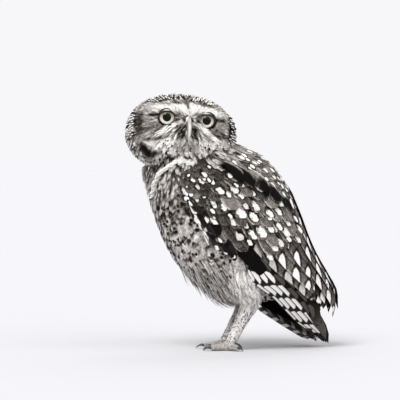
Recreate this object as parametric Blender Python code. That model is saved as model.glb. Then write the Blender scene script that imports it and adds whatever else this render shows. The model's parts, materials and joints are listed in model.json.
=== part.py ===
"""A burrowing owl at life size, standing on both feet and looking back over its left shoulder.

The body faces -Y, the owl's left is +X, and the soles rest on the floor at z = 0. Shapes are worked out
in millimetres in three frames (the body's slanting one, the turned head's and the floor's) and placed in
metres. Each sub-part is one closed object; neighbours are parted by cuts of GAP.
"""

from math import cos, pi, radians, sin

import bpy
import numpy as np

MM = 0.001
GAP = 0.4  # mm left between neighbouring solids

# Driving sizes, in millimetres and degrees, with the feet's middle as zero.
BODY_SLOPE = 53.7  # how far the body's long axis dips below level, towards the tail
BODY_CENTRE = (0.0, 6.6, 102.1)
HEAD_CENTRE = (2.0, -38.4, 176.0)
HEAD_TURN = 78.0  # the face is turned this far to the owl's left
HEAD_ROLL = 4.9  # the owl's left eye is the lower one
HEAD_HALF = {"front": 33.0, "rear": 38.0, "side": 44.7, "up": 32.0, "down": 31.0}
EYE_SPREAD, EYE_HEIGHT, EYE_FORWARD, EYE_RADIUS = 16.2, 12.0, 20.8, 8.6
HULL_POWER = 2.2  # how square the body, wings and head are: 2 would be a true ellipse
# Forms of the face: place aside and up, half widths aside and up, and how far each stands out of the egg.
FACE_FORMS = {
    "brow": (17, 23, 15, 4.5, 2.2),
    "bill_ridge": (0, 8, 5.5, 13, 1.5),
    "cheek": (14, -9, 12, 8, 1.6),
    "muzzle": (0, -3, 9, 9, 2.4),
    "eye_hollow": (EYE_SPREAD, EYE_HEIGHT - 3, 10.5, 10.5, -3.6),
}
# Each half of the bill: front, up, half height, and half width as a share of that; then its tip.
BILL_UPPER = np.array([
    (25, 10.5, 5.6, 0.72),
    (33, 10.8, 5.4, 0.7),
    (37.4, 8.4, 4.6, 0.68),
    (39.9, 4.2, 3.5, 0.66),
    (40.9, 0, 2.3, 0.7),
    (40.2, -4.4, 1.0, 0.8),
])
BILL_LOWER = np.array([
    (25, -0.2, 4.2, 1.0),
    (32, -0.6, 4.2, 1.0),
    (36.2, -1.6, 3.2, 0.95),
    (38.2, -3.2, 1.4, 0.95),
])
BILL_TIPS = {"bill_upper": (39.5, -6.0), "bill_lower": (38.9, -4.4)}
FOOT_SPREAD = 11.4  # each foot's middle, left or right of the middle plane
FOOT_FORWARD = 0.6
RIGHT_FOOT_BACK = 4.4  # the right foot stands this far behind the left
RIGHT_HEEL_BACK = 10.0  # and its heel joint this far behind the left one

# The trunk and neck: distance along the body, then how far belly, back and flank lie out there.
TRUNK = np.array([
    (-86, 28, 36, 33),
    (-67, 38, 37, 36),
    (-50, 45.5, 44, 39),
    (-30, 51.5, 54, 41),
    (-10, 55, 57, 41.5),
    (10, 54.5, 55.5, 41),
    (30, 50, 50, 37),
    (44, 45, 44.5, 31),
    (53, 37, 39.5, 25),
    (60, 25, 34, 20),
    (67, 15, 27, 16),
    (73, 3, 18, 10),
], float)
NECK_END, TRUNK_END = -46.0, 75.0
TRUNK_POLE = (TRUNK_END, 8.0, 0.0)

# The outline that both folded wings lie on, which runs on past the trunk to the wing tips.
WING_HULL = np.array([
    (-62, 42, 41, 38),
    (-45, 50.5, 52, 44),
    (-25, 58, 60, 47),
    (0, 60.5, 60, 47.5),
    (25, 57, 54, 46),
    (45, 48, 48, 43),
    (60, 36, 45, 39),
    (80, 24, 43.5, 33),
    (100, 14, 41, 27),
    (115, 4, 32, 21),
    (132, -2, 18, 15),
], float)
# Where the wing's upper and lower edges lie round the hull, in degrees from the middle of the back.
WING_EDGES = np.array([
    (-62, 86, 116),
    (-45, 77, 125),
    (-32, 70, 127),
    (-18, 63, 127),
    (-2, 54, 124),
    (14, 43, 120),
    (28, 33, 118),
    (45, 20, 115),
    (60, 10, 111),
    (80, 5, 104),
    (100, 7, 97),
    (120, 16, 92),
], float)
PRIMARY_EDGES = np.array([
    (36, 84, 117),
    (50, 84, 120),
    (63, 82, 126),
    (80, 76, 134),
    (98, 68, 138),
    (116, 56, 148),
    (129, 50, 142),
], float)
BLADE_RIM = 1.1  # thickness of a wing blade at its rim

# The leg's middle line from inside the flank over the heel to the sole, and its radius there.
LEG = np.array([
    (22, 5, 70, 12.0),
    (22.5, 6, 60, 14.0),
    (19.6, 11.6, 50, 12.2),
    (15.8, 17.2, 41, 8.8),
    (13.6, 13.2, 29.5, 5.6),
    (12.4, 6.2, 16, 4.6),
    (11.5, 0.6, 5.5, 4.1),
], float)
HEEL_SHARE = 0.52  # share of that line above the heel's joint
HEEL_HEIGHT = 41.0
PAD_LENGTH, PAD_RADIUS, PAD_HEIGHT = 12.4, 4.6, 3.0
# Each toe: its heading from straight ahead towards the outside, its length and its claw's length.
TOES = {
    "inner": (-22, 14.0, 6.4),
    "middle": (5, 16.0, 6.8),
    "outer": (104, 13.5, 6.2),
    "hind": (-158, 10.0, 6.0),
}
TOE_RADII = (3.3, 2.4)  # at the root and at the claw
TOE_HEIGHT, TOE_JOINT_RISE = 2.5, 0.7
CLAW_RADII = (1.6, 0.35)
CLAW_ARCH, CLAW_DROP = 1.3, 2.0
FLOOR_BLOCK = 200.0  # half width and depth of the block that cuts the soles flat

TAIL_ROOT, TAIL_TIP = (33.0, 35.2), (87.0, 7.4)  # y and z of the tail's middle line
TAIL_HALF_WIDTH = (9.0, 12.5)
TAIL_THICK = (8.6, 1.8)  # at the root and at the tip
TAIL_DROOP = 2.6  # how far its sides hang below its middle at the tip
TAIL_ROUNDING = 0.07  # how much shorter its sides are

# How many flat sides each round form has.
SIDES = {
    "trunk": 26,
    "head": 28,
    "eye": 16,
    "bill_upper": 14,
    "bill_lower": 10,
    "leg": 10,
    "toe": 8,
    "claw": 6,
}


def unit(vector):
    return np.asarray(vector, float) / np.linalg.norm(vector)


SLOPE = radians(BODY_SLOPE)
ALONG = np.array([0.0, cos(SLOPE), -sin(SLOPE)])
DORSAL = np.array([0.0, sin(SLOPE), cos(SLOPE)])
LEFT = np.array([1.0, 0.0, 0.0])
UP = np.array([0.0, 0.0, 1.0])
FACING = np.array([sin(radians(HEAD_TURN)), -cos(radians(HEAD_TURN)), 0.0])
LEVEL_LEFT = np.cross(UP, FACING)
HEAD_LEFT = LEVEL_LEFT * cos(radians(HEAD_ROLL)) - UP * sin(radians(HEAD_ROLL))
HEAD_UP = np.cross(FACING, HEAD_LEFT)


def in_body(along, dorsal, left):
    """Points given along the body, towards its back and to its left, in the row's frame."""
    points = np.array(BODY_CENTRE) + np.asarray(along, float)[..., None] * ALONG
    points = points + np.asarray(dorsal, float)[..., None] * DORSAL
    return points + np.asarray(left, float)[..., None] * LEFT


def in_head(front, left, up):
    """Points given from the head's centre towards the face, its left and its crown, in the row's frame."""
    points = np.array(HEAD_CENTRE) + np.asarray(front, float)[..., None] * FACING
    points = points + np.asarray(left, float)[..., None] * HEAD_LEFT
    return points + np.asarray(up, float)[..., None] * HEAD_UP


def through(table, at):
    """The smooth curve through a table's rows, first column against the rest, read at the given places."""
    stations, values = table[:, 0], table[:, 1:]
    at = np.clip(np.asarray(at, float), stations[0], stations[-1])
    slopes = np.gradient(values, stations, axis=0)
    k = np.clip(np.searchsorted(stations, at, side="right") - 1, 0, len(stations) - 2)
    span = (stations[k + 1] - stations[k])[..., None]
    t = (at[..., None] - stations[k][..., None]) / span
    rise = values[k] * (1 + 2 * t) * (1 - t) ** 2 + values[k + 1] * t * t * (3 - 2 * t)
    return rise + span * (slopes[k] * t * (1 - t) ** 2 - slopes[k + 1] * t * t * (1 - t))


def round_power(value, power):
    return np.sign(value) * np.abs(value) ** (2 / power)


def on_hull(table, along, angle, inset=0.0):
    """How far towards the back and the left a hull's skin lies, by place along it and angle round it."""
    belly, back, flank = np.moveaxis(through(table, along), -1, 0)
    middle, half = (back - belly) / 2, (back + belly) / 2 - inset
    dorsal = middle + half * round_power(np.cos(angle), HULL_POWER)
    return dorsal, (flank - inset) * round_power(np.sin(angle), HULL_POWER)


def material(name, colour, roughness):
    made = bpy.data.materials.new(name)
    made.use_nodes = True
    shader = made.node_tree.nodes["Principled BSDF"]
    shader.inputs["Base Color"].default_value = (*colour, 1.0)
    shader.inputs["Roughness"].default_value = roughness
    shader.inputs["Metallic"].default_value = 0.0
    made.diffuse_color = (*colour, 1.0)
    return made


def mesh_object(name, points, faces, finish, helper=False):
    """An object from points in millimetres, with its faces turned outwards."""
    triangles = np.array([(f[0], f[k], f[k + 1]) for f in faces for k in range(1, len(f) - 1)])
    corners = points[triangles]
    if np.einsum("ij,ij->i", corners[:, 0], np.cross(corners[:, 1], corners[:, 2])).sum() < 0:
        faces = [f[::-1] for f in faces]
    mesh = bpy.data.meshes.new(name)
    mesh.from_pydata((points * MM).tolist(), [], faces)
    mesh.shade_smooth()
    mesh.set_sharp_from_angle(angle=radians(40))
    if finish is not None:
        mesh.materials.append(finish)
    made = bpy.data.objects.new(name, mesh)
    bpy.context.scene.collection.objects.link(made)
    made.hide_render = helper
    if helper:
        made.display_type = "WIRE"
    return made


def loft(name, rings, finish, first=None, last=None, helper=False):
    """A closed solid through rings of points, each end a fan round a point (or the ring's own middle)."""
    count, around = rings.shape[:2]
    first = rings[0].mean(axis=0) if first is None else first
    last = rings[-1].mean(axis=0) if last is None else last
    points = np.concatenate([rings.reshape(-1, 3), [first, last]])
    step = np.arange(around)
    after = (step + 1) % around
    faces = [
        (r * around + a, r * around + b, (r + 1) * around + b, (r + 1) * around + a)
        for r in range(count - 1)
        for a, b in zip(step.tolist(), after.tolist())
    ]
    top = (count - 1) * around
    faces += [(int(b), int(a), count * around) for a, b in zip(step, after)]
    faces += [(int(top + a), int(top + b), count * around + 1) for a, b in zip(step, after)]
    return mesh_object(name, points, faces, finish, helper)


def slab(name, top, bottom, finish, helper=False):
    """A closed sheet between two grids of points of one size."""
    rows, columns = top.shape[:2]
    here = np.arange(rows * columns).reshape(rows, columns)
    quads = np.stack([here[:-1, :-1], here[:-1, 1:], here[1:, 1:], here[1:, :-1]], axis=-1).reshape(-1, 4)
    under = quads[:, ::-1] + here.size
    rim = np.concatenate([here[0, :-1], here[:-1, -1], here[-1, :0:-1], here[:0:-1, 0]])
    beyond = np.roll(rim, -1)
    sides = np.stack([beyond, rim, rim + here.size, beyond + here.size], axis=-1)
    points = np.concatenate([top.reshape(-1, 3), bottom.reshape(-1, 3)])
    return mesh_object(name, points, np.concatenate([quads, under, sides]).tolist(), finish, helper)


def swelled(source):
    """A hidden copy of a solid, as lofted, grown along its normals: what its neighbours are cut with."""
    mesh = source.data
    points = np.array([v.co for v in mesh.vertices])
    normals = np.array([v.normal for v in mesh.vertices])
    faces = [tuple(p.vertices) for p in mesh.polygons]
    return mesh_object("cut_" + source.name, points / MM + normals * GAP, faces, None, helper=True)


def boolean(target, other, operation, solver="EXACT"):
    modifier = target.modifiers.new(operation.title() + " " + other.name, "BOOLEAN")
    modifier.operation = operation
    modifier.solver = solver
    modifier.object = other


def part_from(target, *cutters, solver="EXACT"):
    for cutter in cutters:
        boolean(target, cutter, "DIFFERENCE", solver)


def tube_rings(line, radii, around, across=LEFT, flatten=1.0):
    """Rings square to a line of points; across is a direction that is never along the line."""
    heading = np.gradient(line, axis=0)
    heading /= np.linalg.norm(heading, axis=1, keepdims=True)
    side = np.cross(heading, np.broadcast_to(across, heading.shape))
    side /= np.linalg.norm(side, axis=1, keepdims=True)
    other = np.cross(side, heading)
    turn = np.arange(around) * 2 * pi / around
    ring = side[:, None] * np.cos(turn)[None, :, None] * flatten
    ring = ring + other[:, None] * np.sin(turn)[None, :, None]
    return line[:, None] + ring * np.asarray(radii, float)[:, None, None]


def trunk_and_neck(feather):
    """The body from the neck's top to the vent, as two solids parted by a thin cut across the neck."""
    around = np.arange(SIDES["trunk"]) * 2 * pi / SIDES["trunk"]

    def rings(places):
        along = np.repeat(places[:, None], len(around), axis=1)
        dorsal, left = on_hull(TRUNK, along, np.broadcast_to(around, along.shape))
        return in_body(along, dorsal, left)

    neck = loft("neck", rings(np.linspace(TRUNK[0, 0], NECK_END - GAP / 2, 5)), feather)
    body_places = np.concatenate([np.linspace(NECK_END + GAP / 2, 58, 14), (63, 68, 73)])
    trunk = loft("trunk", rings(body_places), feather, last=in_body(*TRUNK_POLE))
    places = np.concatenate([np.linspace(TRUNK[0, 0], NECK_END - GAP / 2, 5), body_places[1:]])
    whole = loft("body", rings(places), None, last=in_body(*TRUNK_POLE), helper=True)
    return trunk, neck, whole


def head_skin(tilt, turn):
    """The head's outline: a squarish egg round the facing direction, with the face's forms on it."""
    power = HULL_POWER
    front, left, up = np.cos(tilt), np.sin(tilt) * np.sin(turn), np.sin(tilt) * np.cos(turn)
    deep = np.where(front > 0, HEAD_HALF["front"], HEAD_HALF["rear"])
    high = np.where(up > 0, HEAD_HALF["up"], HEAD_HALF["down"])
    wide = HEAD_HALF["side"]
    reach = np.abs(front / deep) ** power + np.abs(left / wide) ** power + np.abs(up / high) ** power
    radius = reach ** (-1 / power)
    front, left, up = front * radius, left * radius, up * radius
    on_face = np.clip(front / HEAD_HALF["front"], 0, 1) ** 2
    relief = np.zeros_like(front)
    for aside, height, half_wide, half_high, stand in FACE_FORMS.values():
        away = ((np.abs(left) - aside) / half_wide) ** 2 + ((up - height) / half_high) ** 2
        relief = relief + stand * np.exp(-away)
    return front + on_face * relief, left, up


def head(feather):
    tilts = np.concatenate([np.linspace(0, 0.5 * pi, 12)[1:], np.linspace(0.5 * pi, pi, 7)[1:-1]])
    turns = np.arange(SIDES["head"]) * 2 * pi / SIDES["head"]
    grid = np.meshgrid(tilts, turns, indexing="ij")
    rings = in_head(*head_skin(*grid))
    poles = [in_head(*(float(v) for v in head_skin(np.array(t), np.array(0.0)))) for t in (0.0, pi)]
    return loft("head", rings, feather, first=poles[0], last=poles[1])


def eye(side, iris):
    """One eyeball; what shows of it is a cap in the head's hollow."""
    name = "eye_left" if side > 0 else "eye_right"
    tilts = np.linspace(0, pi, 9)[1:-1]
    turns = np.arange(SIDES["eye"]) * 2 * pi / SIDES["eye"]
    tilt, turn = np.meshgrid(tilts, turns, indexing="ij")
    centre = (EYE_FORWARD, side * EYE_SPREAD, EYE_HEIGHT)
    shape = (np.cos(tilt), np.sin(tilt) * np.sin(turn), np.sin(tilt) * np.cos(turn))
    rings = in_head(*(c + EYE_RADIUS * s for c, s in zip(centre, shape)))
    ends = [in_head(centre[0] + EYE_RADIUS * way, centre[1], centre[2]) for way in (1, -1)]
    return loft(name, rings, iris, first=ends[0], last=ends[1])


def bill(horn):
    """The hooked upper half of the bill over the short lower half, both growing out of the face."""
    made = []
    for name, rows in (("bill_upper", BILL_UPPER), ("bill_lower", BILL_LOWER)):
        places = np.linspace(0, len(rows) - 1, 2 * len(rows) - 1)
        rows = through(np.column_stack([np.arange(len(rows)), rows]), places)
        heading = np.gradient(rows[:, :2], axis=0)
        heading /= np.linalg.norm(heading, axis=1, keepdims=True)
        turn = np.arange(SIDES[name]) * 2 * pi / SIDES[name]
        high, wide = np.cos(turn) * rows[:, 2:3], np.sin(turn) * rows[:, 2:3] * rows[:, 3:4]
        rings = in_head(rows[:, 0:1] - heading[:, 1:2] * high, wide, rows[:, 1:2] + heading[:, 0:1] * high)
        tip = in_head(BILL_TIPS[name][0], 0.0, BILL_TIPS[name][1])
        made.append(loft(name, rings, horn, last=tip))
    part_from(made[1], swelled(made[0]))
    return made


def feather_steps(across, tips, depth):
    """How far a row of rounded feather tips falls short of their common line."""
    return depth * (1 - np.abs(np.sin(across * tips * pi)) ** 0.7)


def wing_blade(name, side, shape, finish, grow=0.0):
    """A sheet on the wings' hull between two edges. A cutter is the same, grown, and deeper inwards."""
    edges, start, end, layer, thickness, rows = shape
    across = np.linspace(0, 1, rows)
    share = np.linspace(0, 1, 13)[:, None]
    along = start(across) - grow + share * (end(across) - start(across) + 2 * grow)
    bounds = np.radians(through(edges, along))
    spread = grow / np.maximum(through(WING_HULL, along)[..., 2], 5)
    angle = bounds[..., 1] + spread + (bounds[..., 0] - bounds[..., 1] - 2 * spread) * across
    # full thickness is reached this many times nearer than the far side, the tip and the root
    to_sides, to_root, to_tip = np.minimum(across, 1 - across) * 5, share * 9, (1 - share) * 14
    rim = np.clip(np.minimum(to_sides, np.minimum(to_root, to_tip)), 0, 1)
    thick = BLADE_RIM + (thickness(along) - BLADE_RIM) * np.sqrt(rim * (2 - rim))
    mirror = np.array([side, 1, 1])
    outer = layer(across) - grow
    depths = (outer, outer + thick + 2 * grow + (np.clip(110 - along, 0, 12) if grow else 0))
    sheets = [in_body(along, *on_hull(WING_HULL, along, angle, inset=depth)) * mirror for depth in depths]
    return slab(name, *sheets, finish, helper=grow > 0)


# Each blade: its edges, where it starts and ends, its depth under the hull, its thickness, and its rows.
ARM = (
    WING_EDGES,
    lambda across: -58 + 16 * (2 * across - 1) ** 2,
    lambda across: 121 - 17 * across**1.6 - feather_steps(across, 3, 6.0),
    lambda across: 0 * across,
    lambda along: np.interp(along, (40, 85, 120), (10.0, 3.0, 1.4)),
    13,
)
PRIMARIES = (
    PRIMARY_EDGES,
    lambda across: 38 + 3 * across,
    lambda across: 126 + 9 * across * (1 - across) - feather_steps(across, 3, 3.5),
    lambda across: np.interp(across, (0, 0.35, 0.6), (0.8, 1.8, 3.4)),
    lambda along: np.interp(along, (40, 90, 131), (5.0, 3.2, 1.6)),
    10,
)


def wings(side, feather, flight):
    """The folded wing's coverts and secondaries, the primaries under them, and a cutter for each."""
    hand = "left" if side > 0 else "right"
    arm = wing_blade("wing_" + hand, side, ARM, feather)
    primaries = wing_blade("primaries_" + hand, side, PRIMARIES, flight)
    cutters = [
        wing_blade("cut_" + arm.name, side, ARM, None, GAP),
        wing_blade("cut_" + primaries.name, side, PRIMARIES, None, GAP),
    ]
    return [arm, primaries], cutters


def tail(flight, grow=0.0):
    """The closed tail: a thin arched plate, widening to a row of rounded feather tips."""
    root, tip = np.array((0, *TAIL_ROOT)), np.array((0, *TAIL_TIP))
    heading = unit(tip - root)
    top = np.cross(LEFT, heading)
    across = np.linspace(-1, 1, 13)
    share = np.linspace(0, 1, 6)[:, None]
    length = np.linalg.norm(tip - root) * (1 - TAIL_ROUNDING * across**2) - feather_steps(across, 3, 2.4)
    half = TAIL_HALF_WIDTH[0] + (TAIL_HALF_WIDTH[1] - TAIL_HALF_WIDTH[0]) * share + grow
    thick = TAIL_THICK[0] + (TAIL_THICK[1] - TAIL_THICK[0]) * share**0.6
    thick = thick * (1 - 0.65 * across**4) + 2 * grow
    middle = root + (share * (length + 2 * grow) - grow)[..., None] * heading
    middle = middle + (half * across)[..., None] * LEFT
    middle = middle - (TAIL_DROOP * share * across**2)[..., None] * top
    offset = (thick / 2)[..., None] * top
    return slab("cut_tail" if grow else "tail", middle + offset, middle - offset, flight, helper=grow > 0)


def leg_shift(side, height):
    """How far a leg stands behind the left one at a height: the right one slants more."""
    share = np.clip(np.asarray(height, float) / HEEL_HEIGHT, 0, 1)
    back = RIGHT_FOOT_BACK + (RIGHT_HEEL_BACK - RIGHT_FOOT_BACK) * share
    return np.multiply.outer(back * (side < 0), (0.0, 1.0, 0.0))


def leg(side, feather, scaly):
    """Thigh and shank along one bent line, parted at the heel."""
    hand = "left" if side > 0 else "right"
    places = np.linspace(0, 1, len(LEG))
    table = np.column_stack([places, LEG])
    made = []
    for name, start, end, count, finish in (
        ("thigh_", 0.0, HEEL_SHARE, 7, feather),
        ("shank_", HEEL_SHARE - 0.02, 1.0, 7, scaly),
    ):
        rows = through(table, np.linspace(start, end, count))
        line = rows[:, :3] * np.array([side, 1, 1]) + leg_shift(side, rows[:, 2])
        made.append(loft(name + hand, tube_rings(line, rows[:, 3], SIDES["leg"], flatten=1.06), finish))
    return made


def foot(side, scaly, horn, floor):
    """Sole pad and four toes as one solid with a flat underside, and a claw in front of each toe."""
    hand = "left" if side > 0 else "right"
    centre = np.array([side * FOOT_SPREAD, -FOOT_FORWARD, 0.0]) + leg_shift(side, 0.0)
    rise = np.linspace(0, pi, 7)[1:-1]
    pad_back = -PAD_LENGTH / 2 * np.cos(rise)
    pad_line = centre + np.column_stack([0 * rise, pad_back, np.full(len(rise), PAD_HEIGHT)])
    pad = loft("foot_" + hand, tube_rings(pad_line, PAD_RADIUS * np.sin(rise) ** 0.7, SIDES["leg"]), scaly)
    claws, around = [], [swelled(pad)]
    for toe, (heading, length, claw_length) in TOES.items():
        way = np.array([side * sin(radians(heading)), -cos(radians(heading)), 0.0])
        share = np.linspace(0, 1, 5)
        height = TOE_HEIGHT + TOE_JOINT_RISE * np.sin(share * 3 * pi) ** 2
        line = centre + way * (length * share)[:, None] + UP * height[:, None]
        radii = TOE_RADII[0] + (TOE_RADII[1] - TOE_RADII[0]) * share
        digit = loft(f"toe_{toe}_{hand}", tube_rings(line, radii, SIDES["toe"], UP), None, helper=True)
        boolean(pad, digit, "UNION")
        share = np.linspace(0, 1, 6)
        arch = CLAW_ARCH * np.sin(share * pi * 0.9) - CLAW_DROP * share**2
        line = line[-1] + way * ((claw_length + 1) * share - 1)[:, None] + UP * arch[:, None]
        radii = CLAW_RADII[0] + (CLAW_RADII[1] - CLAW_RADII[0]) * share
        claw = loft(f"claw_{toe}_{hand}", tube_rings(line, radii, SIDES["claw"], UP), horn)
        around.append(swelled(digit))
        part_from(claw, around[-1])
        claws.append(claw)
    boolean(pad, floor, "DIFFERENCE")
    return pad, claws, around


def set_on_floor(parts):
    """Moves everything so that the whole box is centred over the origin."""
    bpy.context.view_layer.update()
    graph = bpy.context.evaluated_depsgraph_get()
    corners = np.concatenate([[tuple(c) for c in p.evaluated_get(graph).bound_box] for p in parts])
    middle = (corners.min(axis=0) + corners.max(axis=0)) / 2
    for thing in bpy.data.objects:
        thing.location = (-middle[0], -middle[1], 0.0)


def main():
    for thing in list(bpy.data.objects):
        bpy.data.objects.remove(thing)
    contour = material("contour_feathers", (0.42, 0.40, 0.37), 0.85)
    spotted = material("wing_feathers", (0.16, 0.14, 0.12), 0.75)
    barred = material("flight_feathers", (0.07, 0.06, 0.055), 0.7)
    scaly = material("leg_skin", (0.58, 0.56, 0.52), 0.7)
    horn = material("horn", (0.45, 0.43, 0.37), 0.4)
    claw_horn = material("claw_horn", (0.05, 0.045, 0.04), 0.35)
    iris = material("eye", (0.62, 0.56, 0.32), 0.1)

    trunk, neck, body = trunk_and_neck(contour)
    skull = head(contour)
    head_cut, trunk_cut = swelled(skull), swelled(body)
    part_from(neck, head_cut)
    part_from(trunk, head_cut)
    eyes = [eye(side, iris) for side in (1, -1)]
    part_from(skull, *(swelled(e) for e in eyes))
    bills = bill(horn)
    for half in bills:
        part_from(half, head_cut)

    rump, tail_cut = tail(barred), tail(None, GAP)
    part_from(rump, trunk_cut)
    blades, blade_cuts = [], {}
    for side in (1, -1):
        (arm, primaries), blade_cuts[side] = wings(side, spotted, barred)
        part_from(arm, trunk_cut, head_cut, blade_cuts[side][1], tail_cut)
        part_from(primaries, trunk_cut, tail_cut)
        blades += [arm, primaries]

    wide = (-FLOOR_BLOCK, FLOOR_BLOCK)
    block = np.array([(x, y, z) for x in wide for y in wide for z in (-FLOOR_BLOCK, 0.0)])
    sides = [(0, 1, 3, 2), (4, 6, 7, 5), (0, 4, 5, 1), (2, 3, 7, 6), (0, 2, 6, 4), (1, 5, 7, 3)]
    floor = mesh_object("cut_floor", block, sides, None, helper=True)
    legs, claws = [], []
    for side in (1, -1):
        thigh, shank = leg(side, contour, scaly)
        pad, nails, foot_cuts = foot(side, scaly, claw_horn, floor)
        part_from(thigh, trunk_cut, *blade_cuts[side], solver="MANIFOLD")
        part_from(shank, *foot_cuts, swelled(thigh), trunk_cut, solver="MANIFOLD")
        legs += [thigh, shank, pad]
        claws += nails
    set_on_floor([trunk, neck, skull, rump, *eyes, *bills, *blades, *legs, *claws])


main()
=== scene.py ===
import json
from math import cos, pi, radians, sin

import bpy
import numpy as np
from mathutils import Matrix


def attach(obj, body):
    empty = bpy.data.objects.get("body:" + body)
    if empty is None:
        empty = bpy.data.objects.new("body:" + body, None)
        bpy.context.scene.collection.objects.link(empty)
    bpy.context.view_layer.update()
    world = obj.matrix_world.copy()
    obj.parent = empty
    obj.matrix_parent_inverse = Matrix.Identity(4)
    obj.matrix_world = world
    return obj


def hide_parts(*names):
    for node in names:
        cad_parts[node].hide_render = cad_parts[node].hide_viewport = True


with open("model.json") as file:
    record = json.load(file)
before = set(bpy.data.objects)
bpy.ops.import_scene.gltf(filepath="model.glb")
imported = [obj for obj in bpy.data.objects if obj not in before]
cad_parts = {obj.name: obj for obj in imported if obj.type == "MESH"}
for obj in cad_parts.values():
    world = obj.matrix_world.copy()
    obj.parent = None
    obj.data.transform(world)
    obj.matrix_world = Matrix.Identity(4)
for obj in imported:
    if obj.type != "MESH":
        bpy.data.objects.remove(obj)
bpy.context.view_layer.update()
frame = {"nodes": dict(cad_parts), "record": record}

# A burrowing owl at life size. Its feathers are thin closed vanes laid in tracts over one skin.
# Shapes are worked out in millimetres from a point on the floor between the feet: the body faces -Y,
# the owl's left is +X. toFrame turns them into the frame's metres.

millimetre = 0.001
squareness = 2.2  # the power of the ovals that body and head are cut from: 2 would be round
solesBehindPoint = 1.6  # the middle of the two soles, behind the drawing's own point
soles = [mount["pos_m"] for mount in frame["record"]["mounts"] if mount["name"].startswith("sole")]
shift = np.array([0.0, np.mean([sole[1] for sole in soles]) / millimetre - solesBehindPoint, 0.0])
draws = np.random.default_rng(31)
print("frame loaded")


# moves the drawing's millimetres by the shift and scales them to the frame's metres
def toFrame(points):
    return (np.asarray(points, float) + shift) * millimetre


# the way back: metres to millimetres, less the shift
def fromFrame(places):
    return places / millimetre - shift


bodyShape = {
    "slope": radians(53.7),
    "centre": np.array([0.0, 6.6, 102.1]),
    # along the body, then how far the belly, the back and the flank stand out there
    "trunk": np.array([
        (-86, 28, 36, 33), (-67, 38, 37, 36), (-50, 45.5, 44, 39), (-30, 51.5, 54, 41),
        (-10, 55, 57, 41.5), (10, 54.5, 55.5, 41), (30, 50, 50, 37), (44, 45, 44.5, 31),
        (53, 37, 39.5, 25), (60, 25, 34, 20), (67, 15, 27, 16), (73, 3, 18, 10),
    ], float),
    "wing": np.array([
        (-62, 42, 41, 38), (-45, 50.5, 52, 44), (-25, 58, 60, 47), (0, 60.5, 60, 47.5),
        (25, 57, 54, 46), (45, 48, 48, 43), (60, 36, 45, 39), (80, 24, 43.5, 33),
        (100, 14, 41, 27), (115, 4, 32, 21), (132, -2, 18, 15),
    ], float),
    # the wing's upper and lower edge in degrees round from the back, by the place along the body
    "wingEdges": np.array([
        (-62, 86, 116), (-45, 77, 125), (-32, 70, 127), (-18, 63, 127), (-2, 54, 124), (14, 43, 120),
        (28, 33, 118), (45, 20, 115), (60, 10, 111), (80, 5, 104), (100, 7, 97), (120, 16, 92),
    ], float),
}
alongBody = np.array([0.0, cos(bodyShape["slope"]), -sin(bodyShape["slope"])])
dorsalBody = np.array([0.0, sin(bodyShape["slope"]), cos(bodyShape["slope"])])
leftBody = np.array([1.0, 0.0, 0.0])

headShape = {
    "centre": np.array([2.0, -38.4, 176.0]),
    "turn": radians(78.0),
    "roll": radians(4.9),
    "front": 33.0, "rear": 38.0, "side": 44.7, "up": 32.0, "down": 31.0,
    "eyeSpread": 16.2, "eyeHeight": 12.0, "eyeForward": 20.8, "eyeRadius": 8.6,
    "discFrom": (3.0, 13.5),  # where the disc's feathers and rays run out from, aside and up
    # brow, ridge of the bill, cheek, muzzle, eye hollow: how far out, then middle and width aside and up
    "forms": [(2.2, 17, 15, 23, 4.5), (1.5, 0, 5.5, 8, 13), (1.6, 14, 12, -9, 8), (2.4, 0, 9, -3, 9),
              (-3.6, 16.2, 10.5, 9, 10.5)],
}
facing = np.array([sin(headShape["turn"]), -cos(headShape["turn"]), 0.0])
levelLeft = np.cross((0.0, 0.0, 1.0), facing)
leftHead = levelLeft * cos(headShape["roll"]) - np.array([0.0, 0.0, sin(headShape["roll"])])
headAxes = np.array([facing, leftHead, np.cross(facing, leftHead)])


# length of each vector
def norm(vectors):
    return np.linalg.norm(vectors, axis=-1)


# each vector over its length
def unit(vectors):
    return vectors / np.maximum(norm(vectors), 1e-9)[..., None]


# from low to high by a share
def blend(low, high, share):
    return low + (high - low) * share


# a soft step from 0 at low to 1 at high: 3t^2 - 2t^3
def ease(value, low, high):
    t = np.clip((value - low) / (high - low), 0, 1)
    return t * t * (3 - 2 * t)


# a rounded hill: 1 in its middle, e^-1 a width away
def hill(value, middle, width, power=2):
    return np.exp(-(((value - middle) / width) ** power))


# angles evenly round a circle
def turns(count):
    return np.linspace(0, 2 * pi, count + 1)[:-1]


# every pairing of a row with a column, as two arrays
def grid(rows, columns):
    return np.meshgrid(rows, columns, indexing="ij")


# the smooth curve through a table's rows, first column against the rest: cubic Hermite arcs
def through(table, at):
    stations, values = table[:, 0], table[:, 1:]
    at = np.clip(np.asarray(at, float), stations[0], stations[-1])
    slopes = np.gradient(values, stations, axis=0)
    k = np.clip(np.searchsorted(stations, at, side="right") - 1, 0, len(stations) - 2)
    span = (stations[k + 1] - stations[k])[..., None]
    t = (at[..., None] - stations[k][..., None]) / span
    rise = values[k] * (1 + 2 * t) * (1 - t) ** 2 + values[k + 1] * t * t * (3 - 2 * t)
    return rise + span * (slopes[k] * t * (1 - t) ** 2 - slopes[k + 1] * t * t * (1 - t))


# a sine or cosine to the power of 2 / squareness, its sign kept: a circle filled out
def rounded(value):
    return np.sign(value) * np.abs(value) ** (2 / squareness)


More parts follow.
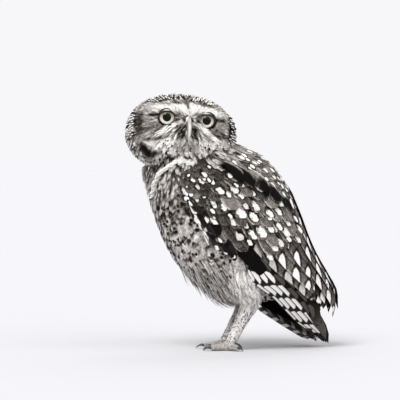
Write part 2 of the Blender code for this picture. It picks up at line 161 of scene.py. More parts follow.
# a point of a hull: a squarish oval across the body, whose middle and half height come from the table
def hullPoint(table, along, angle, inset=0.0):
    belly, back, flank = np.moveaxis(through(table, along), -1, 0)
    dorsal = (back - belly) / 2 + ((back + belly) / 2 - inset) * rounded(np.cos(angle))
    left = (flank - inset) * rounded(np.sin(angle))
    places = np.multiply.outer(along, alongBody) + np.multiply.outer(dorsal, dorsalBody)
    return bodyShape["centre"] + places + np.multiply.outer(left, leftBody)


# a point of the trunk's hull
def trunkPoint(along, angle, inset=0.0):
    return hullPoint(bodyShape["trunk"], along, angle, inset)


# a point of the folded wing's hull
def wingPoint(along, angle, inset=0.0):
    return hullPoint(bodyShape["wing"], along, angle, inset)


# where a point lies along a hull, round it from the back, and how deep: 1 on the hull, less inside
def hullPlace(table, points):
    offset = points - bodyShape["centre"]
    along = offset @ alongBody
    belly, back, flank = np.moveaxis(through(table, along), -1, 0)
    dorsal = (offset @ dorsalBody - (back - belly) / 2) / ((back + belly) / 2)
    left = (offset @ leftBody) / flank
    depth = (np.abs(dorsal) ** squareness + np.abs(left) ** squareness) ** (1 / squareness)
    return along, np.arctan2(left, dorsal), depth


# along, angle and depth of a point in the trunk's hull
def trunkPlace(points):
    return hullPlace(bodyShape["trunk"], points)


# the head in a given direction, as front, left and up: a squarish egg with rounded forms on its face
def headPoint(direction, inset=0.0):
    front, left, up = np.moveaxis(unit(direction), -1, 0)
    deep = np.where(front > 0, headShape["front"], headShape["rear"]) - inset
    high = np.where(up > 0, headShape["up"], headShape["down"]) - inset
    shares = (front / deep, left / (headShape["side"] - inset), up / high)
    radius = sum(np.abs(share) ** squareness for share in shares) ** (-1 / squareness)
    front, left, up = front * radius, left * radius, up * radius
    onFace = np.clip(front / headShape["front"], 0, 1) ** 2
    for out, aside, wide, middle, high in headShape["forms"]:
        front = front + onFace * out * hill(np.abs(left), aside, wide) * hill(up, middle, high)
    return np.stack([front, left, up], axis=-1)


# front, left and up times the head's axes, from its centre
def inHead(places):
    return headShape["centre"] + places @ headAxes


# front, left and up in the head, and the depth there: 1 on the head's surface, less inside
def headPlace(points):
    places = (points - headShape["centre"]) @ headAxes.T
    return places, norm(places) / norm(headPoint(places))


legShape = {
    # the left leg's middle line and radius, from inside the thigh to the ankle
    "line": np.array([
        (0, 22, 5, 70, 12.0), (1, 22.5, 6, 60, 14.0), (2, 19.6, 11.6, 50, 12.2), (3, 15.8, 17.2, 41, 8.8),
        (4, 13.6, 13.2, 29.5, 5.6), (5, 12.4, 6.2, 16, 4.6), (6, 11.5, 0.6, 5.5, 4.1),
    ], float),
    "step": 11.5,  # millimetres from one row to the next
    # the right foot and heel stand this far behind the left ones, up to the heel's height
    "footBack": 4.4, "heelBack": 10.0, "heel": 41.0,
}


# a leg's middle line: the right one is the left one's mirror image, set back, the more so the higher
def legLine(side, run):
    values = through(legShape["line"], run)
    share = np.clip(values[..., 2] / legShape["heel"], 0, 1)
    back = blend(legShape["footBack"], legShape["heelBack"], share) * (side < 0)
    return values[..., :3] * np.array([side, 1, 1]) + np.multiply.outer(back, (0.0, 1.0, 0.0)), values[..., 3]


# a point of a leg: a circle square to its middle line
def legPoint(side, run, angle, grow=0.0):
    middle, radius = legLine(side, run)
    forward = unit(legLine(side, run + 0.02)[0] - legLine(side, run - 0.02)[0])
    across = unit(leftBody - forward * (forward @ leftBody)[..., None])
    third = np.cross(forward, across)
    radius = (radius + grow)[..., None]
    return middle + radius * (np.cos(angle)[..., None] * across + np.sin(angle)[..., None] * third)


# an object linked into the scene, at the origin
def newObject(name, data):
    made = bpy.data.objects.new(name, data)
    bpy.context.scene.collection.objects.link(made)
    return made


# an object from points and groups of faces, each group an array with a face in each row
def makeObject(name, points, faces):
    mesh = bpy.data.meshes.new(name)
    mesh.vertices.add(len(points))
    mesh.vertices.foreach_set("co", toFrame(points).ravel())
    corners = np.concatenate([group.ravel() for group in faces])
    sizes = np.concatenate([np.full(len(group), group.shape[1]) for group in faces])
    mesh.loops.add(len(corners))
    mesh.loops.foreach_set("vertex_index", corners.astype(np.int32))
    mesh.polygons.add(len(sizes))
    mesh.polygons.foreach_set("loop_start", (np.cumsum(sizes) - sizes).astype(np.int32))
    mesh.update(calc_edges=True)
    mesh.validate()
    mesh.shade_smooth()
    return newObject(name, mesh)


# one property of all of a mesh's items, a row for each
def read(items, key, width, kind=float):
    values = np.empty(len(items) * width, kind)
    items.foreach_get(key, values)
    return values.reshape(-1, width)


# a UV map: each corner takes its point's place
def addMap(piece, name, places):
    corners = read(piece.data.loops, "vertex_index", 1, np.int32).ravel()
    layer = piece.data.uv_layers.new(name=name)
    layer.uv.foreach_set("vector", np.asarray(places, np.float32)[corners].ravel())


# an attribute: one number for each point
def addValue(piece, name, values):
    layer = piece.data.attributes.new(name, "FLOAT", "POINT")
    layer.data.foreach_set("value", np.asarray(values, np.float32))


# faces that close a stack of rings of points, each end drawn together at a pole
def ringFaces(rings, around, start=0):
    k, j = grid(np.arange(rings - 1), np.arange(around))
    ahead = (j + 1) % around
    quads = np.stack([k * around + j, k * around + ahead, (k + 1) * around + ahead, (k + 1) * around + j], -1)
    j = np.arange(around)
    ahead = (j + 1) % around
    top = np.stack([np.full(around, rings * around), ahead, j], -1)
    end = (rings - 1) * around
    bottom = np.stack([end + j, end + ahead, np.full(around, rings * around + 1)], -1)
    return quads.reshape(-1, 4) + start, np.concatenate([top, bottom]) + start


# rings of points and the two poles as one closed surface
def lofted(rings, first, last, start=0):
    return np.concatenate([rings.reshape(-1, 3), [first, last]]), ringFaces(*rings.shape[:2], start)


feather = {"stations": 8, "patch": 0.003, "camber": 0.12, "sharp": radians(70)}


# a value for each feather repeated over its points
def over(value, points):
    return np.repeat(value, len(points) // len(value))


# half width along a feather: quick to open at the root, full past the middle, round or pointed at the tip
def outline(stations, fullness, point, root):
    t = np.linspace(0, 1, stations)
    body = blend(root, 1, np.sin(np.clip(t / fullness, 0, 1) * pi / 2))
    return body * (1 - np.clip((t - fullness) / (1 - fullness), 0, 1) ** point) ** 0.6


# A feather is rings of four points (two rims, a ridge and an underside) along its middle line, and two poles.
# cut: fullness, point and root of its outline, then the ridge's height at root and tip. A value is one number
# for each feather, or is worked out from the points.
def buildFeathers(name, middle, normal, width, cut, values, rootMap=None, tuck=0.0, flip=False):
    count, stations = middle.shape[:2]
    half = np.broadcast_to(width, count)[:, None] / 2 * outline(stations, *cut[:3])
    forward = unit(np.gradient(middle, axis=1))
    side = unit(np.cross(normal, forward))
    normal = unit(np.cross(forward, side))
    wide, high = side * half[..., None], normal * np.linspace(*cut[3:], stations)[:, None]
    droop, turn = normal * (half * feather["camber"])[..., None], normal * (half * tuck)[..., None]
    rings = [middle + wide - droop + turn, middle + high, middle - wide - droop - turn, middle - high]
    rings = np.stack(rings, 2)[:, 1:-1].reshape(count, -1, 3)
    points = np.concatenate([rings, middle[:, :1], middle[:, -1:]], axis=1)
    step = (np.arange(count) * points.shape[1])[:, None, None]
    points = points.reshape(-1, 3)
    faces = [(group + step).reshape(-1, group.shape[1]) for group in ringFaces(stations - 2, 4)]
    piece = makeObject(name, points, faces)
    piece.data.set_sharp_from_angle(angle=feather["sharp"])
    t = np.linspace(0, 1, stations)[1:-1]
    across = np.tile([1.0, 0.5, 0.0, 0.5] if flip else [0.0, 0.5, 1.0, 0.5], stations - 2)
    vane = np.stack([np.append(across, [0.5, 0.5]), np.append(np.repeat(t, 4), [0.0, 1.0])], -1)
    if rootMap is None:
        rootMap = np.stack([np.full(count, 0.5), (np.arange(count) + 0.5) / count], -1)
    addMap(piece, "OFBake", (rootMap[:, None] + (vane - 0.5) * feather["patch"]).reshape(-1, 2))
    addMap(piece, "vane", np.tile(vane, (count, 1)))
    addValue(piece, "under", np.tile(np.append(np.tile([0.0, 0.0, 0.0, 1.0], stations - 2), [0, 0]), count))
    for key, value in values.items():
        each = value(points) if callable(value) else over(np.broadcast_to(value, count), points)
        addValue(piece, key, each)
    return piece


# feathers lie from the root, sunk below the coat's surface, up to a slightly raised tip
def riseOf(depth, lift, stations):
    t = np.linspace(0, 1, stations)
    return (np.multiply.outer(lift, t**2) - np.multiply.outer(depth, (1 - t) ** 1.2))[..., None]


# how a surface of two parameters runs there, by small steps either way: along each of them, and its normal
def slopesOf(surface, p, q, stepP=0.4, stepQ=0.01):
    overP = (surface(p + stepP, q) - surface(p - stepP, q)) / (2 * stepP)
    overQ = (surface(p, q + stepQ) - surface(p, q - stepQ)) / (2 * stepQ)
    return overP, overQ, unit(np.cross(overQ, overP))


# the middle lines of feathers that run over a surface of two parameters, with a heading in real lengths
def layOver(surface, p, q, heading, length, depth, lift):
    t = np.linspace(0, 1, feather["stations"])
    overP, overQ = slopesOf(surface, p, q)[:2]
    runP = p[:, None] + np.multiply.outer(np.cos(heading) * length / norm(overP), t)
    runQ = q[:, None] + np.multiply.outer(np.sin(heading) * length / norm(overQ), t)
    normal = slopesOf(surface, runP, runQ)[2]
    return surface(runP, runQ) + normal * riseOf(depth, lift, len(t)), normal


# evenly strewn directions: a golden-angle spiral from pole to pole
def spiral(count):
    k = np.arange(count) + 0.5
    front = 1 - 2 * k / count
    turn = k * pi * (3 - 5**0.5)
    radius = np.sqrt(1 - front**2)
    return np.stack([front, radius * np.sin(turn), radius * np.cos(turn)], -1)


# Each stroke: centre, two radii, turn in degrees, paleness, strength. Paleness runs from 0 black to 1 white.
def brush(tone, x, y, strokes):
    for centreX, centreY, radiusX, radiusY, turn, value, strength in strokes:
        c, s = cos(radians(turn)), sin(radians(turn))
        dx, dy = x - centreX, y - centreY
        reach = ((dx * c + dy * s) / radiusX) ** 2 + ((dy * c - dx * s) / radiusY) ** 2
        tone = blend(tone, value, strength * np.exp(-(reach**1.6)))
    return tone


# smooth noise of about unit spread: a sum of waves in fixed random directions
def waves(points, size, seed, count=9):
    lots = np.random.default_rng(seed)
    ways = unit(lots.normal(size=(count, 3))) * (2 * pi / size) * lots.uniform(0.6, 1.5, (count, 1))
    phases = lots.uniform(0, 2 * pi, count)
    return np.sin(points @ ways.T + phases).sum(-1) / (count / 2) ** 0.5


headMarks = {
    "crown": 0.46, "below": 0.14, "mottle": 0.16,
    # across from the bill's line (either side alike), up, radii, turn, paleness, strength
    "strokes": [
        (0, -9, 46, 13, 0, 0.98, 0.9),        # ruff and cheeks
        (29, 9, 11, 13, 0, 0.62, 0.9),        # outer disc
        (20, 1, 12, 6.5, -35, 0.58, 0.8),     # disc below the eye
        (37.5, 5, 2.8, 11, 0, 0.12, 0.85),    # dark rim of the disc
        (15, 20.2, 18, 3.6, -3, 0.90, 1.0),   # brow
        (0, 15.5, 6.5, 7.5, 0, 0.90, 0.95),   # between the brows
        (4.5, 21.0, 3.0, 3.0, 0, 1.04, 0.8),
        (27, 13.4, 5.5, 1.4, -6, 0.03, 0.9),  # streak behind the eye
        (8.6, 10.6, 2.0, 1.2, -25, 0.05, 0.9),  # streak before the eye
        (17.0, 2.2, 11.5, 2.5, -34, 1.04, 0.95),  # pale stripe from the bill
        (25.5, 0.4, 7, 1.0, -34, 0.22, 0.7),  # dark lines beside it
        (30, 5.5, 7, 1.0, -22, 0.25, 0.6),
        (13.0, -1.8, 7, 1.0, -34, 0.40, 0.6),
        (5.6, 2.6, 3.2, 4.2, -12, 0.08, 0.95),  # bristles beside the bill
        (3.3, 11.5, 1.3, 2.2, 0, 0.06, 0.9),  # dark spot over the bill
        (0, 24.0, 0.8, 3.0, 0, 0.25, 0.7),    # parting of the brows
        (28, -6.0, 8.0, 1.8, -12, 0.16, 0.7),  # dark arc under the disc
        # collar: the owl's own dark band, here also painted black as shade where head meets mantle
        (24, -17, 6.0, 2.2, -16, 0.04, 0.9),  # collar
        (10, -21, 6.5, 2.4, 10, 0.04, 0.9),
    ],
    # laid over the rays: the smooth chin and the whitest of the cheeks
    "lastStrokes": [(0, -10.5, 11.5, 7, 0, 0.58, 1.0), (21, -9.5, 7.5, 3.2, -12, 0.97, 0.7)],
    # the two cheeks differ a little, as their feathers lie
    "leftStrokes": [(28, -8, 13, 4.8, -8, 1.0, 0.9), (26, 0.6, 7.5, 1.6, -12, 0.16, 0.7),
                    (-31, -15.5, 9.0, 3.0, -40, 0.0, 1.0), (-20, -12.5, 8.5, 4.5, -12, 0.95, 0.8)],
    # fine dark rays: how many, how dark, and where they begin, end and stop short of the brow
    "rays": 23, "rayDepth": 0.20, "rayStart": (9, 14), "rayEnd": (31, 38), "rayTop": (3, 9),
}


# rays that run out over the disc from a point between the eye and the bill: sines of the turn about it
def discRays(aside, up):
    x, y = aside - headShape["discFrom"][0], up - headShape["discFrom"][1]
    reach, turn = np.hypot(x, y), np.arctan2(y, x)
    ray = np.sin(headMarks["rays"] * turn + 2.0 * np.sin(5 * turn)) + 0.6 * np.sin(31 * turn + 0.25 * reach)
    onDisc = ease(reach, *headMarks["rayStart"]) * (1 - ease(reach, *headMarks["rayEnd"]))
    return headMarks["rayDepth"] * onDisc * (1 - ease(up, *headMarks["rayTop"])) * ray


# paleness on the head, from front, left and up
def headTone(places):
    front, left, up = np.moveaxis(places, -1, 0)
    aside = np.abs(left)
    base = headMarks["crown"] + headMarks["below"] * ease(-up, 5, 25)
    base = base + headMarks["mottle"] * waves(places, 7.0, 3)
    painted = brush(base, aside, up, headMarks["strokes"]) - discRays(aside, up)
    painted = brush(painted, aside, up, headMarks["lastStrokes"])
    painted = brush(painted, left, up, headMarks["leftStrokes"])
    return blend(base, painted, ease(front, -4, 9))


bodyMarks = {
    "back": 0.42, "below": 0.20,
    # along the body, degrees round from the back (either side alike), radii, turn, paleness, strength
    "strokes": [
        (-80, 150, 12, 60, 0, 0.30, 0.9),     # neck
        (-47, 150, 26, 40, 0, 0.52, 1.0),     # breast
        (-10, 152, 28, 38, 0, 0.68, 1.0),     # belly
        (30, 150, 28, 45, 0, 0.84, 1.0),      # vent
        (-25, 126, 26, 6, 0, 0.84, 0.7),      # flank under the wing
        (62, 170, 16, 70, 0, 0.86, 0.8),
    ],
    # the pale half collar: place along and degrees round from the back
    "arch": np.array([(-64, 95), (-73.5, 108.5), (-77.5, 120), (-77, 138), (-75, 150), (-71, 161),
                      (-62, 175)], float),
    "archWidth": 1.2,
    # painted shade: a black band where the back overhangs the wing, by place along and degrees round from the
    # back, and its half width in degrees
    "shadeBand": np.array([(-62, 80), (-48, 77), (-36.5, 74), (-27, 69), (-15, 62.5), (-3, 55.5), (8, 47),
                      (14, 40)], float),
    "shadeBandWidth": 3.7, "shadeBandDepth": 0.75,
}


# paleness, sunk to black by painted shade in the band above the wing, not past the band's ends
def inPaintedShade(tone, points):
    along, angle = hullPlace(bodyShape["wing"], points)[:2]
    middle = np.interp(along, bodyMarks["shadeBand"][:, 0], bodyMarks["shadeBand"][:, 1])
    shadeBand = hill(np.degrees(np.abs(angle)), middle, bodyMarks["shadeBandWidth"], 4)
    shadeBand = shadeBand * ease(along, -60, -48) * (1 - ease(along, 8, 18))
    return tone * (1 - shadeBand) - bodyMarks["shadeBandDepth"] * shadeBand


# a value for each feather, sunk to black by painted shade in the band above the wing
def withPaintedShade(value):
    return lambda points: inPaintedShade(over(value, points), points)


# paleness on the trunk, sunk to black by painted shade in the band above the wing
def bodyTone(points):
    along, angle = trunkPlace(points)[:2]
    degrees = np.degrees(np.abs(angle))
    tone = bodyMarks["back"] + bodyMarks["below"] * ease(degrees, 80, 115)
    tone = brush(tone, along, degrees, bodyMarks["strokes"])
    arch = bodyMarks["arch"]
    onArch = hill(along, np.interp(degrees, arch[:, 1], arch[:, 0]), bodyMarks["archWidth"], 4)
    onArch = onArch * (degrees > arch[0, 1] - 4) * (degrees < arch[-1, 1] + 4)
    return inPaintedShade(blend(tone, 1.0, onArch), points)


# a shader socket on which Python's arithmetic adds Math nodes
class Wire:
    def __init__(self, tree, socket=None):
        self.tree = tree
        self.socket = socket

    # adds a node: settings first (a ramp's stops among them), then the values or links of its sockets
    def node(self, kind, settings=None, values=None, output=0):
        made = self.tree.nodes.new(kind)
        for key, value in (settings or {}).items():
            if key == "stops":
                ramp = made.color_ramp
                for place, colour in value[2:]:
                    ramp.elements.new(place)
                for element, (place, colour) in zip(ramp.elements, sorted(value)):
                    element.position = place
                    element.color = (*colour, 1.0)
            else:
                setattr(made, key, value)
        for key, value in (values or {}).items():
            if isinstance(value, Wire):
                self.tree.links.new(value.socket, made.inputs[key])
            else:
                made.inputs[key].default_value = value
        return Wire(self.tree, made.outputs[output])

    def math(self, operation, first, second=0.0):
        return self.node("ShaderNodeMath", {"operation": operation}, {0: first, 1: second})

    def __add__(self, other):
        return self.math("ADD", self, other)

    def __sub__(self, other):
        return self.math("SUBTRACT", self, other)

    def __rsub__(self, other):
        return self.math("SUBTRACT", other, self)

    def __mul__(self, other):
        return self.math("MULTIPLY", self, other)

    def __truediv__(self, other):
        return self.math("DIVIDE", self, other)

    def __pow__(self, other):
        return self.math("POWER", self, other)

    def __abs__(self):
        return self.math("ABSOLUTE", self)

    __radd__ = __add__
    __rmul__ = __mul__

    def sine(self):
        return self.math("SINE", self)

    def fraction(self):
        return self.math("FRACT", self)

    def most(self, other):
        return self.math("MAXIMUM", self, other)

    # a soft step from 0 at low to 1 at high
    def ease(self, low, high):
        return self.node("ShaderNodeMapRange", {"interpolation_type": "SMOOTHSTEP"},
                         {"Value": self, "From Min": low, "From Max": high})

    # an attribute of the piece
    def read(self, name):
        return self.node("ShaderNodeAttribute", {"attribute_name": name}, output=2)

    def place(self):
        return self.node("ShaderNodeTexCoord", output=3)

    def noise(self, scale, detail, place=None):
        values = {"Vector": place or self.place(), "Scale": scale, "Detail": detail}
        return self.node("ShaderNodeTexNoise", values=values)


# a material with its steady values set, and a wire to start its shader maths from
def newMaterial(name, roughness, specular=0.5):
    material = bpy.data.materials.new(name)
    material.use_nodes = True
    shader = material.node_tree.nodes["Principled BSDF"]
    shader.inputs["Roughness"].default_value = roughness
    shader.inputs["Specular IOR Level"].default_value = specular
    return material, Wire(material.node_tree)


# colour from a ramp over a paleness, and relief from a height, a strength and a distance in metres
def dress(material, tone, stops, relief=None):
    feeds = {"Base Color": tone.node("ShaderNodeValToRGB", {"stops": stops}, {0: tone})}
    if relief:
        values = dict(zip(("Height", "Strength", "Distance"), relief))
        feeds["Normal"] = tone.node("ShaderNodeBump", values=values)
    shader = material.node_tree.nodes["Principled BSDF"]
    for name, wire in feeds.items():
        material.node_tree.links.new(wire.socket, shader.inputs[name])
    return material


# paleness to plumage colour: black, umber, grey-brown, buff, warm white
plumageStops = [
    (0.0, (0.004, 0.0036, 0.0034)), (1.0, (0.90, 0.885, 0.865)), (0.2, (0.030, 0.026, 0.023)),
    (0.4, (0.128, 0.114, 0.101)), (0.6, (0.320, 0.296, 0.270)), (0.8, (0.610, 0.584, 0.550)),
]
vaneLook = {"grain": 600.0, "fineGrain": 1800.0, "wobble": 2.4, "swell": 0.34, "sway": 0.16,
            "ring": (1.2, 3.4), "barbSlant": 2.2, "barbBeat": 4.2}


# The colour of feathers: base paleness, a spot or bars on the vane in a dark surround, rims, shaft, barbs and
# mottle. spot: across, along, two radii. bars: pale half ovals along the outer web, one every period,
# measured back from the tip in millimetres.
def plumage(name, spot=None, bars=None, edge=0.0, shaft=0.10, mottle=0.10, barbs=0.05, halo=0.0,
            soft=(0.45, 1.25), drop=1.0, under=False):
    material, start = newMaterial(name, 0.75, 0.05)
    vane = start.node("ShaderNodeUVMap", {"uv_map": "vane"})
    x = start.node("ShaderNodeSeparateXYZ", values={0: vane}) * 2.0 - 1.0
    run = start.node("ShaderNodeSeparateXYZ", values={0: vane}, output=1)
    tone, paleness, size = [start.read(key) for key in ("tone", "spot", "size")]
    noise, fine = start.noise(vaneLook["grain"], 3.0), start.noise(vaneLook["fineGrain"], 2.0)
    wobble = (noise - 0.5) * vaneLook["wobble"]
    if spot:
        # a spot is drawn out toward the root like a drop
        across, along, radiusX, radiusY = spot
        change = start.read("change")
        swell = 1.0 + change * vaneLook["swell"]
        rise = (run - along).most(0.0) + (along - run).most(0.0) / drop
        away = ((x - across - change * vaneLook["sway"]) / (swell * radiusX)) ** 2.0
        away = away + (rise / (swell * radiusY)) ** 2.0 + wobble
        mask, ring = 1.0 - away.ease(*soft), 1.0 - away.ease(*vaneLook["ring"])
    elif bars:
        fromTip = (1.0 - run) * size
        beat = ((fromTip + start.read("phase")) / bars["period"]).fraction() - 0.5 + (x + 1.0) * bars["slant"]
        side = x + bars["from"]
        away = (beat * bars["period"] / bars["long"]) ** 2.0 + (side / bars["wide"]) ** 2.0 + wobble * 0.3
        mask = (1.0 - away.ease(0.75, 1.1)) * fromTip.ease(bars["tip"], bars["tip"] + 3.0)
        mask, ring = mask * side.ease(-0.06, 0.06), 1.0 - away.ease(1.1, 3.0)
    if halo:
        tone = tone - ring * paleness.ease(0.45, 0.75) * halo
    tone = tone - (1.0 - abs(x).ease(0.03, 0.14)) * shaft
    if edge:
        tone = tone + abs(x).ease(0.66, 0.95) * edge
    if under:
        # from below only the rims of the webs show their pale marks
        below = start.read("under")
        mask = mask * (1.0 - below.ease(0.05, 0.2))
        tone = tone - below.ease(0.1, 0.4) * 0.25
    if spot or bars:
        tone = tone + (paleness - tone) * mask
    barb = ((run * size - abs(x) * vaneLook["barbSlant"]) * vaneLook["barbBeat"]).sine()
    tone = tone + barb * barbs * 0.5 + (noise - 0.5) * (mottle * 3.0) + (fine - 0.5) * (mottle * 1.6)
    return dress(material, tone, plumageStops, (barb * 0.5 + fine, 0.25, 0.00012))


# gives a piece its material and its body, and hides the nodes that it replaces
def finishPiece(piece, material, *replaced, slot="contour_feathers"):
    mesh = piece.data
    mesh.materials.clear()
    mesh.materials.append(material)
    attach(piece, "root")
    if replaced:
        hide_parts(*replaced)
    mesh.calc_loop_triangles()
    print(piece.name, len(mesh.loop_triangles), "triangles")


studio = {
    # where the camera stands round the owl and how far off, the point it looks at, aside and up, and its lens
    "azimuth": radians(68.0), "elevation": radians(1.0), "distance": 1822.0, "aside": -19.3, "height": 122.6,
    "lens": 200.0, "sensor": 36.0,
    "ground": (0.605, 0.60, 0.615, 1), "groundRings": [0.25, 0.6, 1.5, 4.0, 12.0, 40.0],
    "airSeen": 0.95, "airLight": 0.62, "airColour": (0.98, 0.975, 1.0, 1),
    # azimuth and elevation that the light comes from, spread in degrees, strength
    "lamps": {"keyLight": (40.0, 52.0, 30.0, 2.45), "fillLight": (110.0, 40.0, 60.0, 0.85),
              "backLight": (240.0, 50.0, 50.0, 0.6)},
}


# the camera looks back at its target along the azimuth and elevation, from the distance away
def setStage():
    azimuth, elevation = studio["azimuth"], studio["elevation"]
    level = np.array([sin(azimuth), -cos(azimuth), 0.0])
    back = level * cos(elevation) + np.array([0, 0, sin(elevation)])
    target = np.array([cos(azimuth), sin(azimuth), 0.0]) * studio["aside"] + (0.0, 0.0, studio["height"])
    camera = newObject("camera", bpy.data.cameras.new("camera"))
    camera.data.lens = studio["lens"]
    camera.data.sensor_width = studio["sensor"]
    camera.location = toFrame(target + back * studio["distance"])
    camera.rotation_euler = (pi / 2 - elevation, 0.0, azimuth)
    bpy.context.scene.camera = camera

    # the ground: a wide disc, lit evenly to the same paleness as the air behind it
    radii, turn = grid(studio["groundRings"], turns(96))
    rings = np.stack([radii * np.cos(turn), radii * np.sin(turn), np.zeros_like(turn)], -1)
    quads, ends = ringFaces(*turn.shape)
    points = np.concatenate([fromFrame(rings.reshape(-1, 3)), [-shift]])
    ground = makeObject("ground", points, (quads, ends[:turn.shape[1]]))
    material = newMaterial("paleGround", 0.9, 0.0)[0]
    material.node_tree.nodes["Principled BSDF"].inputs["Base Color"].default_value = studio["ground"]
    ground.data.materials.append(material)

    # the air: pale to the eye, softer as a light
    world = bpy.data.worlds.new("studio")
    bpy.context.scene.world = world
    world.use_nodes = True
    sight = Wire(world.node_tree).node("ShaderNodeLightPath")
    glow = sight * (studio["airSeen"] - studio["airLight"]) + studio["airLight"]
    background = world.node_tree.nodes["Background"]
    background.inputs["Color"].default_value = studio["airColour"]
    world.node_tree.links.new(glow.socket, background.inputs["Strength"])
    for name, (azimuth, elevation, spread, strength) in studio["lamps"].items():
        lamp = newObject(name, bpy.data.lights.new(name, "SUN"))
        lamp.data.energy = strength
        lamp.data.angle = radians(spread)
        lamp.rotation_euler = (pi / 2 - radians(elevation), 0.0, radians(azimuth))
        lamp.location = (0, 0, 1)
    bpy.context.scene.view_settings.view_transform = "Standard"


setStage()
print("stage set")


# the skin: inset copies of the head, trunk, wing arms and legs, and the feet, drawn into one surface
skinShape = {
    "headDeep": 3.0, "trunkDeep": 3.2, "armDeep": 3.0, "armThick": 6.0, "legDeep": 1.2,
    # first and last place along the body, and how many rings
    "trunkRun": (-74, 71, 60), "armRun": (-50, 38, 36),
    "armInside": (7, -9),  # how far the arm stops short of the wing's edges, in degrees
    "voxel": 1.15, "rounds": 5, "shade": 0.06, "armShade": 0.02, "legTone": 0.92,
}


# rings of points of each part and the points that close it
def skinParts():
    tilt, turn = grid(np.linspace(0, pi, 42)[1:-1], turns(72))
    ways = np.stack([np.cos(tilt), np.sin(tilt) * np.sin(turn), np.sin(tilt) * np.cos(turn)], -1)
    poles = np.array([[1.0, 0, 0], [-1.0, 0, 0]])
    rings, poles = [inHead(headPoint(way, skinShape["headDeep"])) for way in (ways, poles)]
    yield rings, *poles

    along, angle = grid(np.linspace(*skinShape["trunkRun"]), turns(72))
    rings = trunkPoint(along, angle, skinShape["trunkDeep"])[:, ::-1]
    yield rings, rings[0].mean(0), rings[-1].mean(0)

    for side in (1, -1):
        along = np.linspace(*skinShape["armRun"])
        edges = np.radians(through(bodyShape["wingEdges"], along) + skinShape["armInside"])
        angle = blend(edges[:, :1], edges[:, 1:], np.linspace(0, 1, 22)) * side
        outer, inner = [wingPoint(along[:, None], angle, skinShape["armDeep"] + more)
                        for more in (0, skinShape["armThick"])]
        rings = np.concatenate([outer, inner[:, ::-1]], axis=1)[:, ::-side]
        yield rings, rings[0].mean(0), rings[-1].mean(0)

        run, angle = grid(np.linspace(0, 6, 50), turns(24))
        rings = legPoint(side, run, angle, -skinShape["legDeep"] * ease(5 - run, 0, 2))
        yield rings, rings[0].mean(0), rings[-1].mean(0)


# all parts drawn into one surface and smoothed, its paleness the head's or the body's by depth
def makeSkin():
    points, faces, start = [], [], 0
    for rings, first, last in skinParts():
        corners, groups = lofted(rings, first, last, start)
        points.append(corners)
        faces.extend(groups)
        start += len(corners)
    for foot in ("foot_left", "foot_right"):
        mesh = frame["nodes"][foot].data
        mesh.calc_loop_triangles()
        points.append(fromFrame(read(mesh.vertices, "co", 3)))
        faces.append(read(mesh.loop_triangles, "vertices", 3, np.int32) + start)
        start += len(mesh.vertices)
    faces.sort(key=lambda group: -group.shape[1])
    rough = makeObject("roughSkin", np.concatenate(points), faces)
    remesh = rough.modifiers.new("oneSurface", "REMESH")
    remesh.mode = "VOXEL"
    remesh.voxel_size = skinShape["voxel"] * millimetre
    smooth = rough.modifiers.new("smooth", "SMOOTH")
    smooth.iterations = skinShape["rounds"]
    smooth.factor = 0.5
    mesh = bpy.data.meshes.new_from_object(rough.evaluated_get(bpy.context.evaluated_depsgraph_get()))
    bpy.data.objects.remove(rough)
    mesh.shade_smooth()
    skin = newObject("skin", mesh)

    places = fromFrame(read(mesh.vertices, "co", 3))
    height = places[:, 2]
    spots, depth = headPlace(places)
    along, angle, bodyDepth = trunkPlace(places)
    onHead = (depth < bodyDepth) * (height > 125)
    aboveLeg = ease(height, 34, 46)
    tone = blend(skinShape["legTone"], np.where(onHead, headTone(spots), bodyTone(places)), aboveLeg)
    # painted shade: the skin of the wing's arm, and what lies under its edges, is painted near black
    upper, lower = through(bodyShape["wingEdges"], along).T
    degrees = np.degrees(np.abs(angle))
    onArm = (degrees > upper - 4) * (degrees < lower + 1) * (along > -52) * ~onHead * (aboveLeg > 0.5)
    addValue(skin, "tone", np.where(onArm, skinShape["armShade"], tone) - skinShape["shade"])
    addValue(skin, "bare", 1 - ease(height, 6, 9))
    return skin


# skin shows the plumage's markings between feathers, and on the toes small scales
def skinMaterial():
    material, start = newMaterial("mottledSkin", 0.8, 0.05)
    bare, place = start.read("bare"), start.place()
    noise = start.noise(600.0, 4.0, place)
    scales = start.node("ShaderNodeTexVoronoi", {"feature": "DISTANCE_TO_EDGE"},
                        {"Vector": place, "Scale": 900.0})
    seam = 1.0 - scales.ease(0.0, 0.12)
    tone = start.read("tone") + (noise - 0.5) * 0.5 - seam * bare * 0.2 - bare * 0.16
    return dress(material, tone, plumageStops, (noise * (1.0 - bare) - seam * bare, 0.5, 0.0003))


legs = [part + end for part in ("thigh", "shank", "foot") for end in ("_left", "_right")]
finishPiece(makeSkin(), skinMaterial(), "head", "neck", "trunk", *legs)
print("skin made")


# the head's feathers lie away from the eyes on the discs, and back over the crown
headCoat = {
    # length and width on the disc, then on the ruff
    "face": {"count": 9000, "length": (5.0, 8.0), "width": (1.15, 2.6), "depth": 2.0, "lift": 0.2},
    "crown": {"count": 3800, "length": 7.6, "width": 2.9, "depth": 3.0, "lift": 0.8},
    # stiff dark bristles that hang over the sides of the bill
    "bristle": {"count": 170, "left": (2.0, 7.5), "up": (-1.0, 8.0), "length": 4.6, "width": 0.55,
                "depth": 0.6, "lift": 1.1, "tone": 0.06, "cut": (0.3, 2.0, 0.5, 0.156, 0.065)},
    "cut": (0.55, 2.0, 0.5, 0.156, 0.065), "eyeGap": 6.1, "browGap": 1.0, "disc": 32.0,
}


